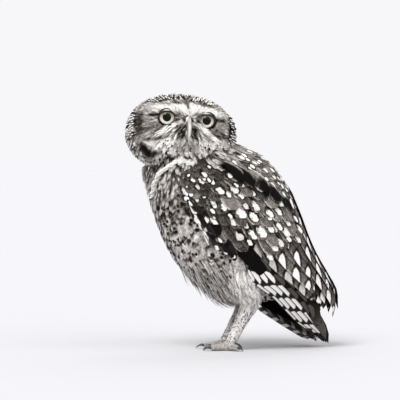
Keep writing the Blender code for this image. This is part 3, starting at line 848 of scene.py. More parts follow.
# which way feathers run there: back over the crown, then mixed in turn with a way out from the disc's middle,
# one down beside the bill and one up where the brows part
def headFlow(places):
    front, left, up = np.moveaxis(places, -1, 0)
    side, none = np.where(left < 0, -1.0, 1.0), np.zeros_like(left)
    below = ease(-up, -2, 18)
    back = np.stack([0.7 * below - 0.9, 0.25 * left / 30, -0.35 - 0.9 * below], -1)
    out = np.stack([none, left - side * headShape["discFrom"][0], up - headShape["discFrom"][1]], -1)
    down = np.stack([none + 0.1, side * 0.75, none - 0.8], -1)
    parted = np.stack([none, side * 0.5, none + 1], -1)
    disc = (1 - ease(norm(out), headCoat["disc"] - 7, headCoat["disc"])) * ease(front, 4, 14)
    bill = hill(left, 0, 6.0) * (1 - ease(up, 12, 18)) * ease(up, -9, -4) * ease(front, 10, 20)
    brow = ease(up, 16, 20) * hill(left, 0, 5.0) * ease(front, 4, 14)
    flow = unit(back)
    for way, share in ((unit(out), disc), (unit(down), bill), (parted, brow)):
        flow = blend(flow, way, share[..., None])
    return unit(flow)


# feathers on the head run straight from their roots along the flow, and are then laid onto its surface
def layOnHead(roots, length, depth, lift, nudge=0.6, step=0.4):
    base = headPoint(roots)
    flow = headFlow(base)
    sideways = unit(np.cross(unit(roots), flow))
    outward = unit(np.cross(headPoint(base + flow * nudge) - base, headPoint(base + sideways * nudge) - base))
    outward = outward * np.sign(np.sum(outward * base, -1))[..., None]
    flow = unit(flow - outward * np.sum(flow * outward, -1)[..., None])
    sideways = np.cross(outward, flow)[:, None] * step
    flow = flow[:, None]
    t = np.linspace(0, 1, feather["stations"])
    straight = base[:, None] + flow * (length[:, None] * t)[..., None]
    ahead = headPoint(straight + flow * step) - headPoint(straight - flow * step)
    normal = unit(np.cross(ahead, headPoint(straight + sideways) - headPoint(straight - sideways)))
    return headPoint(straight) + normal * riseOf(depth, lift, len(t)), normal, base


# distance from the nearer eye's middle: the root of aside squared plus up squared
def eyeDistance(places):
    return np.hypot(np.abs(places[..., 1]) - headShape["eyeSpread"], places[..., 2] - headShape["eyeHeight"])


# the bake map on the head is its own round: the tilt from the face, turned about it
def buildOnHead(name, roots, length, width, depth, lift, tone, spot, cut=headCoat["cut"]):
    middle, normal, base = layOnHead(roots, length, depth, lift)
    values = {"size": length, "change": draws.uniform(-1, 1, len(length)), "tone": tone, "spot": spot}
    tilt = np.arccos(np.clip(unit(base)[:, 0], -1, 1)) / pi
    turn = np.arctan2(base[:, 1], base[:, 2])
    rootMap = 0.5 + 0.48 * tilt[:, None] * np.stack([np.sin(turn), np.cos(turn)], -1)
    return buildFeathers(name, inHead(middle), unit(normal) @ headAxes, width, cut, values, rootMap)


# directions of the spiral that fall on the face or off it, clear of eyes, bill and trunk
def headRoots(count, keepOnFace):
    roots = spiral(count)
    base = headPoint(roots)
    front, left, up = base.T
    aside = np.abs(left)
    onFace = (front > 6) * (up < 25.5) * (aside < np.where((left > 0) & (up > -3), 33.5, 38.5))
    gap = headCoat["eyeGap"] - headCoat["browGap"] * ease(up - headShape["eyeHeight"], 0, 4)
    onBill = (aside < 2.0) * (up < 11) * (up > -5) * (front > 0)
    along, _, depth = trunkPlace(inHead(base))
    keep = (onFace == keepOnFace) * ((eyeDistance(base) > gap) | (front < 0)) * ~onBill
    keep = keep * ((depth > 0.92) | (along < -84))
    return roots[keep], base[keep]


# the head's own paleness, a little rough from feather to feather
def roughHead(rough):
    return lambda points: headTone(headPlace(points)[0]) + over(rough, points)


# disc and ruff: length and width run from the disc's to the ruff's, and shrink beside the eye
def makeFace():
    coat = headCoat["face"]
    roots, base = headRoots(coat["count"], True)
    ruff = ease(-base[:, 2], 3, 8)
    chosen = draws.random(len(roots)) > 0.55 * ruff
    roots, base, ruff = roots[chosen], base[chosen], ruff[chosen]
    count = len(roots)
    vary = draws.uniform(0.8, 1.2, (3, count))
    near = np.clip((eyeDistance(base) - headCoat["eyeGap"]) / 5, 0, 1)
    length = blend(*coat["length"], ruff) * vary[0] * (0.6 + 0.4 * near)
    width = blend(*coat["width"], ruff) * vary[1]
    lift = coat["lift"] * vary[2] * (1 + 2.5 * ruff)
    rough, lot = draws.normal(0, 0.09, count), draws.random(count)
    tone = roughHead(rough)

    # on the ruff a share of the pale ones has a dark spot
    def faceSpot(points):
        place = headPlace(points)[0]
        share = ease(-place[:, 2], 1, 5) * (0.24 + 0.22 * ease(place[:, 1], 14, 24))
        return np.where((over(lot, points) < share) * (tone(points) > 0.66), 0.12, tone(points))

    depth = coat["depth"] * (0.15 + 0.85 * near)
    piece = buildOnHead("faceFeathers", roots, length, width, depth, lift, tone, faceSpot)
    finishPiece(piece, plumage("faceFeather", spot=(0.1, 0.76, 0.7, 0.20), edge=0.03, shaft=0.07,
                               mottle=0.12))


# crown and nape: feathers of about one size, three in four with a pale spot
def makeCrown():
    coat = headCoat["crown"]
    roots = headRoots(coat["count"], False)[0]
    count = len(roots)
    vary = draws.uniform(0.8, 1.2, (3, count))
    rough, lot = draws.normal(-0.24, 0.12, count), draws.random((2, count))
    spot = np.where(lot[0] < 0.75, 0.86 + 0.22 * lot[1], 0.15)
    piece = buildOnHead("crownFeathers", roots, coat["length"] * vary[0], coat["width"] * vary[1],
                        coat["depth"], coat["lift"] * vary[2] ** 3, roughHead(rough), spot)
    finishPiece(piece, plumage("crownFeather", spot=(0, 0.82, 0.46, 0.20), shaft=0.03, mottle=0.12,
                               halo=0.20))


# bristles, strewn at random over a patch on either side of the bill
def makeBristles():
    coat = headCoat["bristle"]
    count = coat["count"]
    lot = draws.random((3, count))
    left = blend(*coat["left"], lot[0]) * np.where(np.arange(count) % 2, 1.0, -1.0)
    roots = np.stack([np.full(count, headShape["front"]), left, blend(*coat["up"], lot[1])], -1)
    tone = coat["tone"] + 0.5 * (draws.random(count) < 0.22)
    length = coat["length"] * (0.7 + 0.6 * lot[2])
    piece = buildOnHead("bristles", roots, length, coat["width"], coat["depth"], coat["lift"], tone, tone,
                        coat["cut"])
    finishPiece(piece, plumage("bristle", shaft=0.0, mottle=0.05))


makeFace()
makeCrown()
makeBristles()
print("head feathered")


bodyCoat = {
    "to": 70.0, "cut": (0.6, 2.2, 0.5, 0.24, 0.08),
    # length and lift on the body, then on the neck
    "breast": {"from": -84.0, "spacing": 4.3, "length": (14.0, 12.0), "width": 4.8, "depth": 2.6,
               "lift": 0.45, "neckLift": 1.7},
    "collar": {"count": 520, "spread": 0.45, "length": 5.5, "width": 1.3, "depth": 0.8, "lift": 0.8,
               "lowLift": 1.7, "tone": 0.96, "perDegree": 0.8},
    "back": {"from": -66.0, "spacing": 7.0, "length": 20.0, "width": 9.0, "depth": 3.4, "lift": 0.7,
             "spread": 0.05},
    "wisp": {"count": 300, "along": (-4, 46), "spread": 50, "length": 17, "width": 0.9, "depth": 1.0,
             "lift": 6.5, "cut": (0.35, 2.2, 0.5, 0.24, 0.08)},
}


# places for feathers in rows round the trunk, each row half a step on from the last: along, angle and degrees
def bodyRoots(coat, wanted):
    along, angle, spacing = [], [], coat["spacing"]
    for number, place in enumerate(np.arange(coat["from"], bodyCoat["to"], spacing * 0.87)):
        ring = trunkPoint(np.full(73, place), np.linspace(0, 2 * pi, 73))
        count = int(norm(np.diff(ring, axis=0)).sum() / spacing)
        along.append(np.full(count, place))
        angle.append((np.arange(count) + 0.5 * (number % 2)) * 2 * pi / count - pi)
    along, angle = np.concatenate(along), np.concatenate(angle)
    along = along + draws.normal(0, 0.12 * spacing, len(along))
    angle = angle + draws.normal(0, 0.004 * spacing, len(angle))
    degrees = np.degrees(np.abs(angle))
    upper, lower = through(bodyShape["wingEdges"], along).T
    underWing = (along > -50) * (degrees > upper + 14) * (degrees < lower - 11)
    keep = ~underWing * (headPlace(trunkPoint(along, angle))[1] > 0.90) * wanted(along, degrees)
    return along[keep], angle[keep], degrees[keep]


# feathers laid over the trunk, and their places on the bake map by along and angle
def layOnTrunk(name, along, angle, heading, length, width, depth, lift, tone, spot, cut=bodyCoat["cut"]):
    middle, normal = layOver(trunkPoint, along, angle, heading, length, depth, lift)
    values = {"size": length, "change": draws.uniform(-1, 1, len(length)), "tone": tone, "spot": spot}
    rootMap = np.stack([(along + 90) / 170, angle / (2 * pi) + 0.5], -1)
    return buildFeathers(name, middle, normal, width, cut, values, rootMap)


# breast, belly, neck and vent
def makeBreast():
    coat = bodyCoat["breast"]
    along, angle, degrees = bodyRoots(coat, lambda along, degrees: (degrees >= 84) | (along < -62))
    count = len(along)
    vary = draws.uniform(0.82, 1.18, (3, count))
    neck = 1 - ease(along, -70, -58)
    width = coat["width"] * vary[1] * (1 - 0.45 * neck) * (1 - 0.45 * ease(along, 0, 25))
    heading = np.sign(angle) * 0.30 * ease(degrees, 90, 125) * (1 - ease(degrees, 165, 180))
    heading = heading + draws.normal(0, 0.10, count)
    onNeck = neck * ease(degrees, 100, 130) * draws.uniform(0.4, 1.6, count)
    lift = coat["lift"] * vary[2] + 1.2 * ease(along, 20, 60) + (coat["neckLift"] - coat["lift"]) * onNeck
    rough, lot = draws.normal(0, 0.10, count) * (1 + 0.5 * ease(along, -15, 15)), draws.random((2, count))

    def breastTone(points):
        tone = bodyTone(points)
        clean = (tone > 0.9) | (tone < 0.1)
        return tone + np.where(clean, 0, over(rough, points) + 0.17 * waves(points, 7.0, 5))

    barred = (lot[0] < 0.64 - 0.34 * ease(along, -40, 5)) * (neck < 0.5)
    spot = np.where(barred, -0.18 + 0.45 * lot[1], 0.70)
    piece = layOnTrunk("breastFeathers", along, angle, heading, blend(*coat["length"], neck) * vary[0], width,
                       coat["depth"], lift, breastTone, spot)
    finishPiece(piece, plumage("breastFeather", spot=(0.0, 0.80, 0.85, 0.10), shaft=0.05, mottle=0.15,
                               barbs=0.22, soft=(-0.3, 2.6)))


# the pale half collar: slender feathers laid along its line
def makeCollar():
    coat, line = bodyCoat["collar"], bodyMarks["arch"]
    count = coat["count"]
    place = draws.uniform(0, 1, count) * (len(line) - 1)
    low = place.astype(int)
    onward = line[low + 1] - line[low]
    along, degrees = (line[low] + onward * (place - low)[:, None]).T
    side = np.where(draws.random(count) < 0.5, -1.0, 1.0)
    along = along + draws.normal(0, coat["spread"], count)
    heading = np.arctan2(onward[:, 1] * coat["perDegree"], onward[:, 0]) * side + draws.normal(0, 0.12, count)
    tone = coat["tone"] + draws.normal(0, 0.05, count)
    length = coat["length"] * draws.uniform(0.7, 1.2, count)
    lift = (coat["lift"] + coat["lowLift"] * ease(degrees, 118, 145)) * draws.uniform(0.6, 1.4, count)
    piece = layOnTrunk("collarFeathers", along, np.radians(degrees) * side, heading, length, coat["width"],
                       coat["depth"], lift, tone, tone)
    finishPiece(piece, plumage("collarFeather", shaft=0.03))


# the back, between and above the wings
def makeBack():
    coat = bodyCoat["back"]
    along, angle, _ = bodyRoots(coat, lambda along, degrees: degrees < 86)
    count = len(along)
    vary = draws.uniform(0.85, 1.15, (3, count))
    heading = np.sign(angle) * coat["spread"] + draws.normal(0, 0.08, count)
    rough, lot = draws.normal(0, 0.09, count), draws.random((2, count))

    def backTone(points):
        return bodyTone(points) + over(rough, points)

    # the back's spots are sunk to black by painted shade in the band above the wing
    spot = withPaintedShade(np.where(lot[0] < 0.7, 0.84 + 0.20 * lot[1], 0.45))
    piece = layOnTrunk("backFeathers", along, angle, heading, coat["length"] * vary[0],
                       coat["width"] * vary[1], coat["depth"], coat["lift"] * vary[2], backTone, spot)
    finishPiece(piece, plumage("backFeather", spot=(-0.1, 0.80, 0.42, 0.12), edge=0.16, mottle=0.15,
                               halo=0.16))


# loose slender feathers that hang free of the belly
def makeWisps():
    coat = bodyCoat["wisp"]
    count = coat["count"]
    lot = draws.random((4, count))
    angle = np.radians(coat["spread"] * (lot[1] - 0.5) * 2) + pi
    tone = 0.15 + 0.75 * lot[3]
    piece = layOnTrunk("bellyWisps", blend(*coat["along"], lot[0]), angle, draws.normal(0, 0.12, count),
                       coat["length"] * (0.6 + 0.6 * lot[2]), coat["width"], coat["depth"],
                       coat["lift"] * lot[2], tone, tone, coat["cut"])
    finishPiece(piece, plumage("wisp", shaft=0.0))


makeBreast()
makeCollar()
makeBack()
makeWisps()
print("body feathered")


legCoat = {
    # on the thigh, then on the shank
    "spacing": (2.1, 1.45), "length": (8.5, 4.2), "width": (2.0, 1.0), "depth": (1.6, 0.7),
    "lift": (0.9, 0.35), "tone": (0.88, 0.92), "innerShade": 0.34, "cut": (0.45, 1.6, 0.6, 0.144, 0.06),
}


# rings of feathers down each leg: as many as the girth holds, each ring half a step on
def makeLegFeathers():
    finish = plumage("legFeather", spot=(0, 0.75, 0.8, 0.19), shaft=0.04, mottle=0.22)
    for side, end in ((1, "Left"), (-1, "Right")):
        runs, angles, place = [], [], 0.3
        while place < 5.8:
            radius = through(legShape["line"], [place])[0, 3]
            spacing = blend(*legCoat["spacing"], ease(place, 3.0, 4.0))
            count = int(2 * pi * radius / spacing)
            angles.append((np.arange(count) + 0.5 * (len(runs) % 2)) * 2 * pi / count)
            runs.append(np.full(count, place))
            place += spacing / legShape["step"]
        run, angle = np.concatenate(runs), np.concatenate(angles)
        count = len(run)
        run = run + draws.normal(0, 0.04, count)
        onShank = ease(run, 3.0, 4.2)
        vary = draws.uniform(0.8, 1.2, (3, count))
        keys = ("length", "width", "depth", "lift")
        length, width, depth, lift = [blend(*legCoat[key], onShank) for key in keys]
        length = length * vary[0]
        middle, normal = layOver(lambda p, q: legPoint(side, p / legShape["step"], q), run * legShape["step"],
                                 angle, draws.normal(0, 0.16, count), length, depth, lift * vary[2])
        outward = middle[:, 2] - legPoint(side, run, angle, -3)
        normal = normal * np.sign(np.sum(normal[:, 2] * outward, -1))[:, None, None]
        tone = blend(*legCoat["tone"], ease(run, 3.0, 4.0)) + draws.normal(0, 0.14, count)
        # painted shade: the legs' inner sides, which face each other, are darker
        tone = tone - legCoat["innerShade"] * ease(-side * np.cos(angle), -0.1, 0.8)
        spot = np.where((draws.random((2, count))[0] < 0.6) * (onShank > 0.25), 0.08, tone)
        rootMap = np.stack([run / 6, angle / (2 * pi)], -1)
        keep = trunkPlace(middle[:, 5])[2] > 0.75
        values = {"tone": tone[keep], "spot": spot[keep], "size": length[keep]}
        piece = buildFeathers("legFeathers" + end, middle[keep], normal[keep], (width * vary[1])[keep],
                              legCoat["cut"], values, rootMap[keep])
        finishPiece(piece, finish, slot="leg_skin")


makeLegFeathers()
print("legs feathered")


# wing feathers: lines of coverts and scapulars by the places of their tips, over long flight feathers
wingCoat = {
    # Lines of plain feathers: first and last tip along the body, their degrees round from the back, and how
    # many feathers. Marked feathers: where the white spot lies along the body, in degrees, and its radius.
    "edge": {"lines": [(-50, -8, 124, 125.5, 10)], "length": 11, "width": 2.6, "taper": 0.6,
             "depth": 1.0, "lift": 0.5, "tone": 0.92, "spot": 0.99, "share": 1.0,
             "look": {"spot": (-0.1, 0.55, 1.4, 0.6), "shaft": 0.0, "mottle": 0.04}},
    "lesser": {"lines": [(-58, -36, 117.5, 112.5, 4), (-62, -32, 111, 106, 5), (-59, -38, 104.5, 100.5, 4),
                         (-63, -41, 98, 95.5, 4), (-66, -46, 91, 89, 4), (-54, -40, 84.5, 83, 3)],
               "marked": [(-58, 110, 2.0), (-57, 118, 1.2), (-51, 110, 1.7), (-50, 120, 2.2), (-42, 108, 1.7),
                          (-43, 117, 2.3), (-48, 125, 1.3), (-54, 125, 2.4), (-47, 96, 2.2), (-41, 96, 2.3),
                          (-32, 92, 2.7), (-37, 112, 2.0), (-32, 106, 2.2), (-26, 101, 4.0), (-54, 100, 1.6)],
               "length": 15, "width": 9.5, "depth": 2.0, "lift": 0.5, "tone": 0.26, "spot": 0.98,
               "share": 0.3, "radius": 1.95,
               "look": {"spot": (-0.1, 0.83, 0.40, 0.13), "edge": 0.10, "shaft": 0.14, "mottle": 0.15,
                        "barbs": 0.14, "halo": 0.26, "drop": 1.7}},
    "scapular": {"lines": [(-33, 10, 92.5, 93, 4), (-27, 30, 85.5, 87.5, 5), (-33, 24.7, 78.5, 81, 5),
                           (-24, 33, 73, 75, 5), (-14, 28, 66, 68, 4), (5, 32, 60, 60, 3),
                           (20, 36, 53, 53, 2)],
                 "marked": [(-24, 85, 2.2), (-20, 77, 2.4), (-16, 86, 2.4), (-10, 80, 3.4), (-13, 92, 4.2),
                            (-4, 86, 3.4), (3, 75, 3.0), (6, 65, 3.0), (12, 79, 3.0), (16, 70, 2.8),
                            (18, 60, 3.6), (22, 48, 2.3), (10, 86, 4.2), (36, 56, 3.1), (32, 48, 2.7),
                            (-33, 84, 1.6), (-30, 78, 1.8), (27, 78, 3.0), (29, 68, 2.4)],
                 "length": 26, "width": 14, "depth": 2.6, "lift": 1.0, "tone": 0.37, "spot": 1.0,
                 "share": 0.3, "radius": 3.0,
                 "look": {"spot": (-0.30, 0.87, 0.44, 0.115), "edge": 0.26, "shaft": 0.18, "mottle": 0.18,
                          "barbs": 0.16, "halo": 0.32, "drop": 2.1}},
    "greater": {"lines": [(-25, 13, 105, 104, 4), (-14, 4, 98.5, 98.5, 3), (-33, -20, 101, 101, 2)],
                "marked": [(-21, 113, 2.7), (-16, 106, 2.9), (-12, 98, 3.1), (-4, 92, 2.9), (0, 102, 3.8),
                           (-6, 112, 1.7), (10, 95, 2.2), (26, 85, 4.4), (30, 90, 2.8)],
                "length": 24, "width": 12, "depth": 2.8, "lift": 0.7, "tone": 0.28, "spot": 1.0, "share": 0.3,
                "radius": 2.7,
                "look": {"spot": (-0.36, 0.87, 0.44, 0.115), "edge": 0.14, "shaft": 0.14, "mottle": 0.18,
                         "barbs": 0.14, "halo": 0.30, "drop": 1.9}},
    "alula": {"lines": [(-40, 0, 121, 119.5, 6), (-30, 6, 117, 116, 5), (-20, 12, 111.5, 112.5, 4)],
              "marked": [(-20, 121, 1.8), (-35, 121, 1.6), (-29, 124, 2.8), (10, 113, 2.2), (4, 116, 2.0)],
              "length": 26, "width": 8, "depth": 2.0, "lift": 0.3, "tone": 0.10, "spot": 0.92, "share": 0.2,
              "radius": 1.9,
              "look": {"spot": (-0.3, 0.86, 0.5, 0.075), "edge": 0.22, "shaft": 0.05, "mottle": 0.12,
                       "barbs": 0.06, "drop": 1.6}},
    # a fluffy pale tuft where the painted shade band above the wing begins
    "tuft": {"lines": [(-56, -48, 81.5, 79, 9), (-57, -48, 84.5, 82, 9), (-58, -50, 87.5, 85, 8)],
             "length": 8, "width": 2.0, "depth": 1.0, "lift": 1.5, "tone": 0.62, "spot": 0.86, "share": 0.5,
             "look": {"spot": (0, 0.7, 0.7, 0.3), "shaft": 0.05, "mottle": 0.2, "barbs": 0.1}},
}
covertCut = {"cut": (0.66, 2.2, 0.5, 0.30, 0.10), "markedDeeper": 0.6, "tipBeyond": 0.13, "tuck": 0.13}


# a root lies a feather's length before its tip, and a marked tip a share of it beyond its spot
def makeCoverts():
    finishes = {key: plumage(key + "Covert", **row["look"]) for key, row in wingCoat.items()}
    for side, end in ((1, "Left"), (-1, "Right")):
        for key, row in wingCoat.items():
            row = {"marked": np.zeros((0, 3)), "radius": 1.0, "taper": 0.0, **row}
            spotAlong, spotAngle, spotRadius = np.array(row["marked"], float).T
            tipAlong = [np.linspace(first, last, count) for first, last, _, _, count in row["lines"]]
            tipAngle = [np.linspace(first, last, count) for _, _, first, last, count in row["lines"]]
            tipAlong = np.concatenate(tipAlong + [spotAlong + covertCut["tipBeyond"] * row["length"]])
            tipAngle = np.concatenate(tipAngle + [spotAngle])
            count = len(tipAlong)
            isMarked = np.arange(count) >= count - len(spotRadius)
            tipAlong = tipAlong + draws.normal(0, 0.8, count) * ~isMarked
            tipAngle = tipAngle + draws.normal(0, 0.5, count) * ~isMarked
            length = row["length"] * draws.uniform(0.94, 1.06, count)
            width = row["width"] * draws.uniform(0.92, 1.08, count)
            width = width * (1 - row["taper"] * np.linspace(0, 1, count))
            heading = side * draws.normal(0, 0.04, count)
            root = np.maximum(tipAlong - length, -68)
            lift = row["lift"] * draws.uniform(0.7, 1.3, count)
            middle, normal = layOver(wingPoint, root, side * np.radians(tipAngle), heading, tipAlong - root,
                                     row["depth"] + covertCut["markedDeeper"] * isMarked, lift)
            tone = row["tone"] + draws.normal(0, 0.06, count)
            spot = np.where(isMarked | (draws.random(count) < row["share"]), row["spot"], tone + 0.05)
            spot = spot - 0.2 * draws.random(count) ** 2
            change = draws.uniform(-1, 1, count)
            change[isMarked] = (spotRadius / row["radius"] - 1) / vaneLook["swell"]
            # the coverts' paleness and spots are sunk to black by painted shade in the band above the wing
            values = {"tone": withPaintedShade(tone), "spot": withPaintedShade(spot), "size": length, "change": change}
            rootMap = np.stack([(root + 70) / 200, tipAngle / 180], -1)
            piece = buildFeathers(key + "Coverts" + end, middle, normal, width, covertCut["cut"], values,
                                  rootMap, -covertCut["tuck"] * side, side > 0)
            finishPiece(piece, finishes[key], slot="wing_feathers")


makeCoverts()
print("coverts laid")


# flight feathers, each by the places of its outer edge at root and tip, its width and its depth in the stack
flightCoat = {
    "stations": 16,
    # root along, root degrees, tip along, tip degrees, width, depth, paleness, phase and paleness of the bars
    "inner": [
        (0, 24, 111, 33, 17, 0.2, 0.42, 3.0, 1.0), (0, 42, 100, 44, 15, 0.5, 0.36, 9.0, 1.0),
        (-2, 57, 94, 55, 16, 0.8, 0.40, 2.0, 1.0), (-6, 73, 74, 73, 15, 1.2, 0.34, 0.0, 1.0),
        (-8, 89, 81, 84, 16, 1.6, 0.40, 3.0, 1.0), (-8, 100, 88, 89, 15, 2.1, 0.30, 11.0, 0.80),
        (30, 66, 112, 70, 19, 1.6, 0.38, 9.0, 0.95), (30, 77, 106, 76, 15, 2.7, 0.12, 12.0, 0.95),
        # the last two rows lie in the gap under the coverts: their near-black paleness and dim bars are
        # painted shade
        (30, 90, 100, 83, 16, 3.0, 0.20, 1.0, 0.95), (24, 98, 96, 94, 10, 3.4, 0.04, 4.0, 0.45),
        (26, 101, 104, 99, 10, 3.7, 0.02, 13.0, 0.2),
    ],
    "innerBars": {"period": 17.5, "long": 4.7, "wide": 0.98, "slant": -0.30, "tip": 1.0, "from": 1.0},
    "innerCut": (0.8, 2.2, 0.5, 0.455, 0.175), "rootSink": 2.5,
    # Primaries: share of the way from the first row's outer edge to the last, and the phase of its ovals.
    # The first two lie in the dark gap above the first row: their ovals are painted dim grey, not white, as
    # painted shade.
    "outer": [(-0.62, 2.0), (-0.30, 7.0), (0.02, 13.0), (0.40, 10.0), (0.78, 8.5), (1.04, 5.0)],
    "outerBars": {"period": 18.0, "long": 7.3, "wide": 0.84, "slant": 0.0, "tip": 7.0, "from": 0.90},
    "outerCut": (0.62, 1.7, 0.6, 0.392, 0.14), "outerWidth": 11.5, "outerDepth": (2.6, 0.45),
    "outerRoots": (10, 26), "outerTips": np.array([119, 125, 130, 129, 128, 127]),
    "firstOuter": np.array([(30, 101), (45, 102.5), (64, 106), (81, 109.5), (98, 112.5), (114, 116),
                            (131, 116)], float),
    "lastOuter": np.array([(30, 113), (45, 117), (64, 122), (81, 129), (98, 136), (115, 144),
                           (131, 149)], float),
    "shadedTone": 0.30, "webTone": 0.02,
}


# a row of flight feathers: their middle lines lie half a width above their outer edges
def buildFlight(name, side, along, edge, width, depth, cut, tuck, values):
    half = np.broadcast_to(width, len(along))[:, None] / 2 * outline(along.shape[1], *cut[:3])
    angle = side * (edge - half / norm(slopesOf(wingPoint, along, edge)[1]))
    normal = slopesOf(wingPoint, along, angle)[2]
    middle = wingPoint(along, angle) - normal * depth[..., None]
    return buildFeathers(name, middle, normal, width, cut, values, None, -tuck * side, side > 0)


# the inner row from its table, and the primaries fanned by their share between two edge curves
def makeFlightFeathers():
    t = np.linspace(0, 1, flightCoat["stations"])
    innerLook = plumage("innerFlight", bars=flightCoat["innerBars"], edge=0.22, shaft=0.16, mottle=0.14,
                        barbs=0.09, halo=0.24, under=True)
    outerLook = plumage("outerFlight", bars=flightCoat["outerBars"], shaft=0.0, mottle=0.05, halo=-0.12,
                        under=True)
    for side, end in ((1, "Left"), (-1, "Right")):
        table = np.array(flightCoat["inner"], float).T
        root, rootAngle, tip, tipAngle = table[:4, :, None]
        width, sink, tone, phase, spot = table[4:]
        values = {"tone": tone + draws.normal(0, 0.02, len(tone)), "spot": spot, "size": (tip - root)[:, 0],
                  "phase": phase}
        along, edge = blend(root, tip, t), np.radians(blend(rootAngle, tipAngle, t))
        depth = sink[:, None] + flightCoat["rootSink"] * (1 - t) ** 3
        piece = buildFlight("tertials" + end, side, along, edge, width, depth, flightCoat["innerCut"], 0.14,
                            values)
        finishPiece(piece, innerLook, "wing_" + end.lower(), slot="flight_feathers")

        share, phase = np.array(flightCoat["outer"], float).T
        root, tip = np.linspace(*flightCoat["outerRoots"], len(share)), flightCoat["outerTips"]
        along = blend(root[:, None], tip[:, None], t)
        first, last = [through(flightCoat[key], along)[..., 0] for key in ("firstOuter", "lastOuter")]
        # the shaded ones above the first row draw in behind it toward the tip
        row = share[:, None] * np.where(share[:, None] < 0, 1 - ease(along, 78, 116), 1)
        depth = flightCoat["outerDepth"][0] + flightCoat["outerDepth"][1] * np.arange(len(share))[:, None]
        shaded = np.where(share < 0, flightCoat["shadedTone"], flightCoat["webTone"])

        # toward their tips the webs of the shaded ones are grey
        def webTone(points):
            run = hullPlace(bodyShape["wing"], points)[0]
            return flightCoat["webTone"] + over(shaded, points) * ease(run, 88, 112)

        # painted shade: the shaded primaries' ovals are dim grey
        spot = np.where(share < 0, flightCoat["shadedTone"], 1.0)
        values = {"tone": webTone, "spot": spot, "size": tip - root, "phase": phase}
        piece = buildFlight("primaries" + end, side, along, np.radians(blend(first, last, row)),
                            flightCoat["outerWidth"], depth, flightCoat["outerCut"], 0.10, values)
        finishPiece(piece, outerLook, "primaries_" + end.lower(), slot="flight_feathers")


makeFlightFeathers()
print("flight feathers laid")


tailCoat = {
    "root": np.array([0.0, 33.0, 35.2]), "tip": np.array([0.0, 87.0, 7.4]), "spread": (5.04, 7.92),
    "count": 12, "stations": 12, "width": 8.5, "droop": 2.6, "fall": 2.25, "shorter": 0.07, "lean": 0.25,
    "tone": 0.30, "spot": 0.85, "size": 60.0, "cut": (0.8, 3.0, 0.5, 0.39, 0.15),
    "bars": {"period": 12.0, "long": 2.6, "wide": 3.0, "slant": 0.0, "tip": 2.0, "from": 1.06},
}


# feathers side by side from root to tip, the outer ones shorter and lower
def makeTail():
    t = np.linspace(0, 1, tailCoat["stations"])
    place = np.linspace(-1, 1, tailCoat["count"])[:, None]
    forward = tailCoat["tip"] - tailCoat["root"]
    upward = unit(np.cross(leftBody, forward))
    upward = upward * np.sign(upward[2])
    reach = t * (1 - tailCoat["shorter"] * place**2)
    aside = place * blend(*tailCoat["spread"], t)
    sink = tailCoat["droop"] * reach * place**2 + tailCoat["fall"] * np.abs(place)
    middle = tailCoat["root"] + reach[..., None] * forward + aside[..., None] * leftBody
    middle = middle - sink[..., None] * upward
    normal = np.broadcast_to(unit(upward + tailCoat["lean"] * place[..., None] * leftBody), middle.shape)
    values = {key: tailCoat[key] for key in ("tone", "spot", "size")}
    values["phase"] = np.abs(place[:, 0]) * 3
    piece = buildFeathers("tailFeathers", middle, normal, tailCoat["width"], tailCoat["cut"], values)
    look = plumage("tailFeather", bars=tailCoat["bars"], edge=0.08)
    finishPiece(piece, look, "tail", slot="flight_feathers")


makeTail()
print("tail laid")


eyeLook = {
    "pupil": 3.3, "iris": 5.75, "gaze": radians(71.0), "gazeUp": radians(1.0), "bulge": 0.7,
    "irisStops": [(0.0, (0.002, 0.002, 0.002)), (1.0, (0.93, 0.90, 0.76)), (0.5, (0.36, 0.33, 0.25))],
    # the lid: a ring that hugs the ball, by its share of the way out and how far it stands off
    "lidIn": 5.45, "lidOut": 6.15,
    "lidProfile": [(0.0, 0.15), (0.08, 0.65), (0.4, 0.75), (0.8, 0.2), (1.0, -0.6), (0.9, -1.2), (0.5, -0.8),
                   (0.1, -0.35)],
    "lidStops": [(0.0, (0.004, 0.004, 0.004)), (1.0, (0.48, 0.45, 0.42)), (0.5, (0.05, 0.045, 0.042))],
}


# the iris is a ring of distance from the gaze, with painted shade toward its top under the brow, and the lid
# a mottled skin
def eyeMaterials():
    ball, start = newMaterial("eyeball", 0.06, 0.16)
    off, pupil, iris = start.read("off"), eyeLook["pupil"], eyeLook["iris"]
    ring = off.ease(pupil - 0.15, pupil + 0.15) * (1.0 - off.ease(iris - 0.35, iris + 0.1))
    shade = start.read("high").ease(-0.5, 0.55) * 0.9
    dress(ball, ring * (1.0 - shade + (start.noise(1500.0, 3.0) - 0.5) * 0.25), eyeLook["irisStops"])
    lid, start = newMaterial("lidSkin", 0.5, 0.1)
    noise = start.noise(2500.0, 3.0)
    dress(lid, noise * 0.4 + start.read("pale"), eyeLook["lidStops"], (noise, 0.4, 0.0002))
    return ball, lid


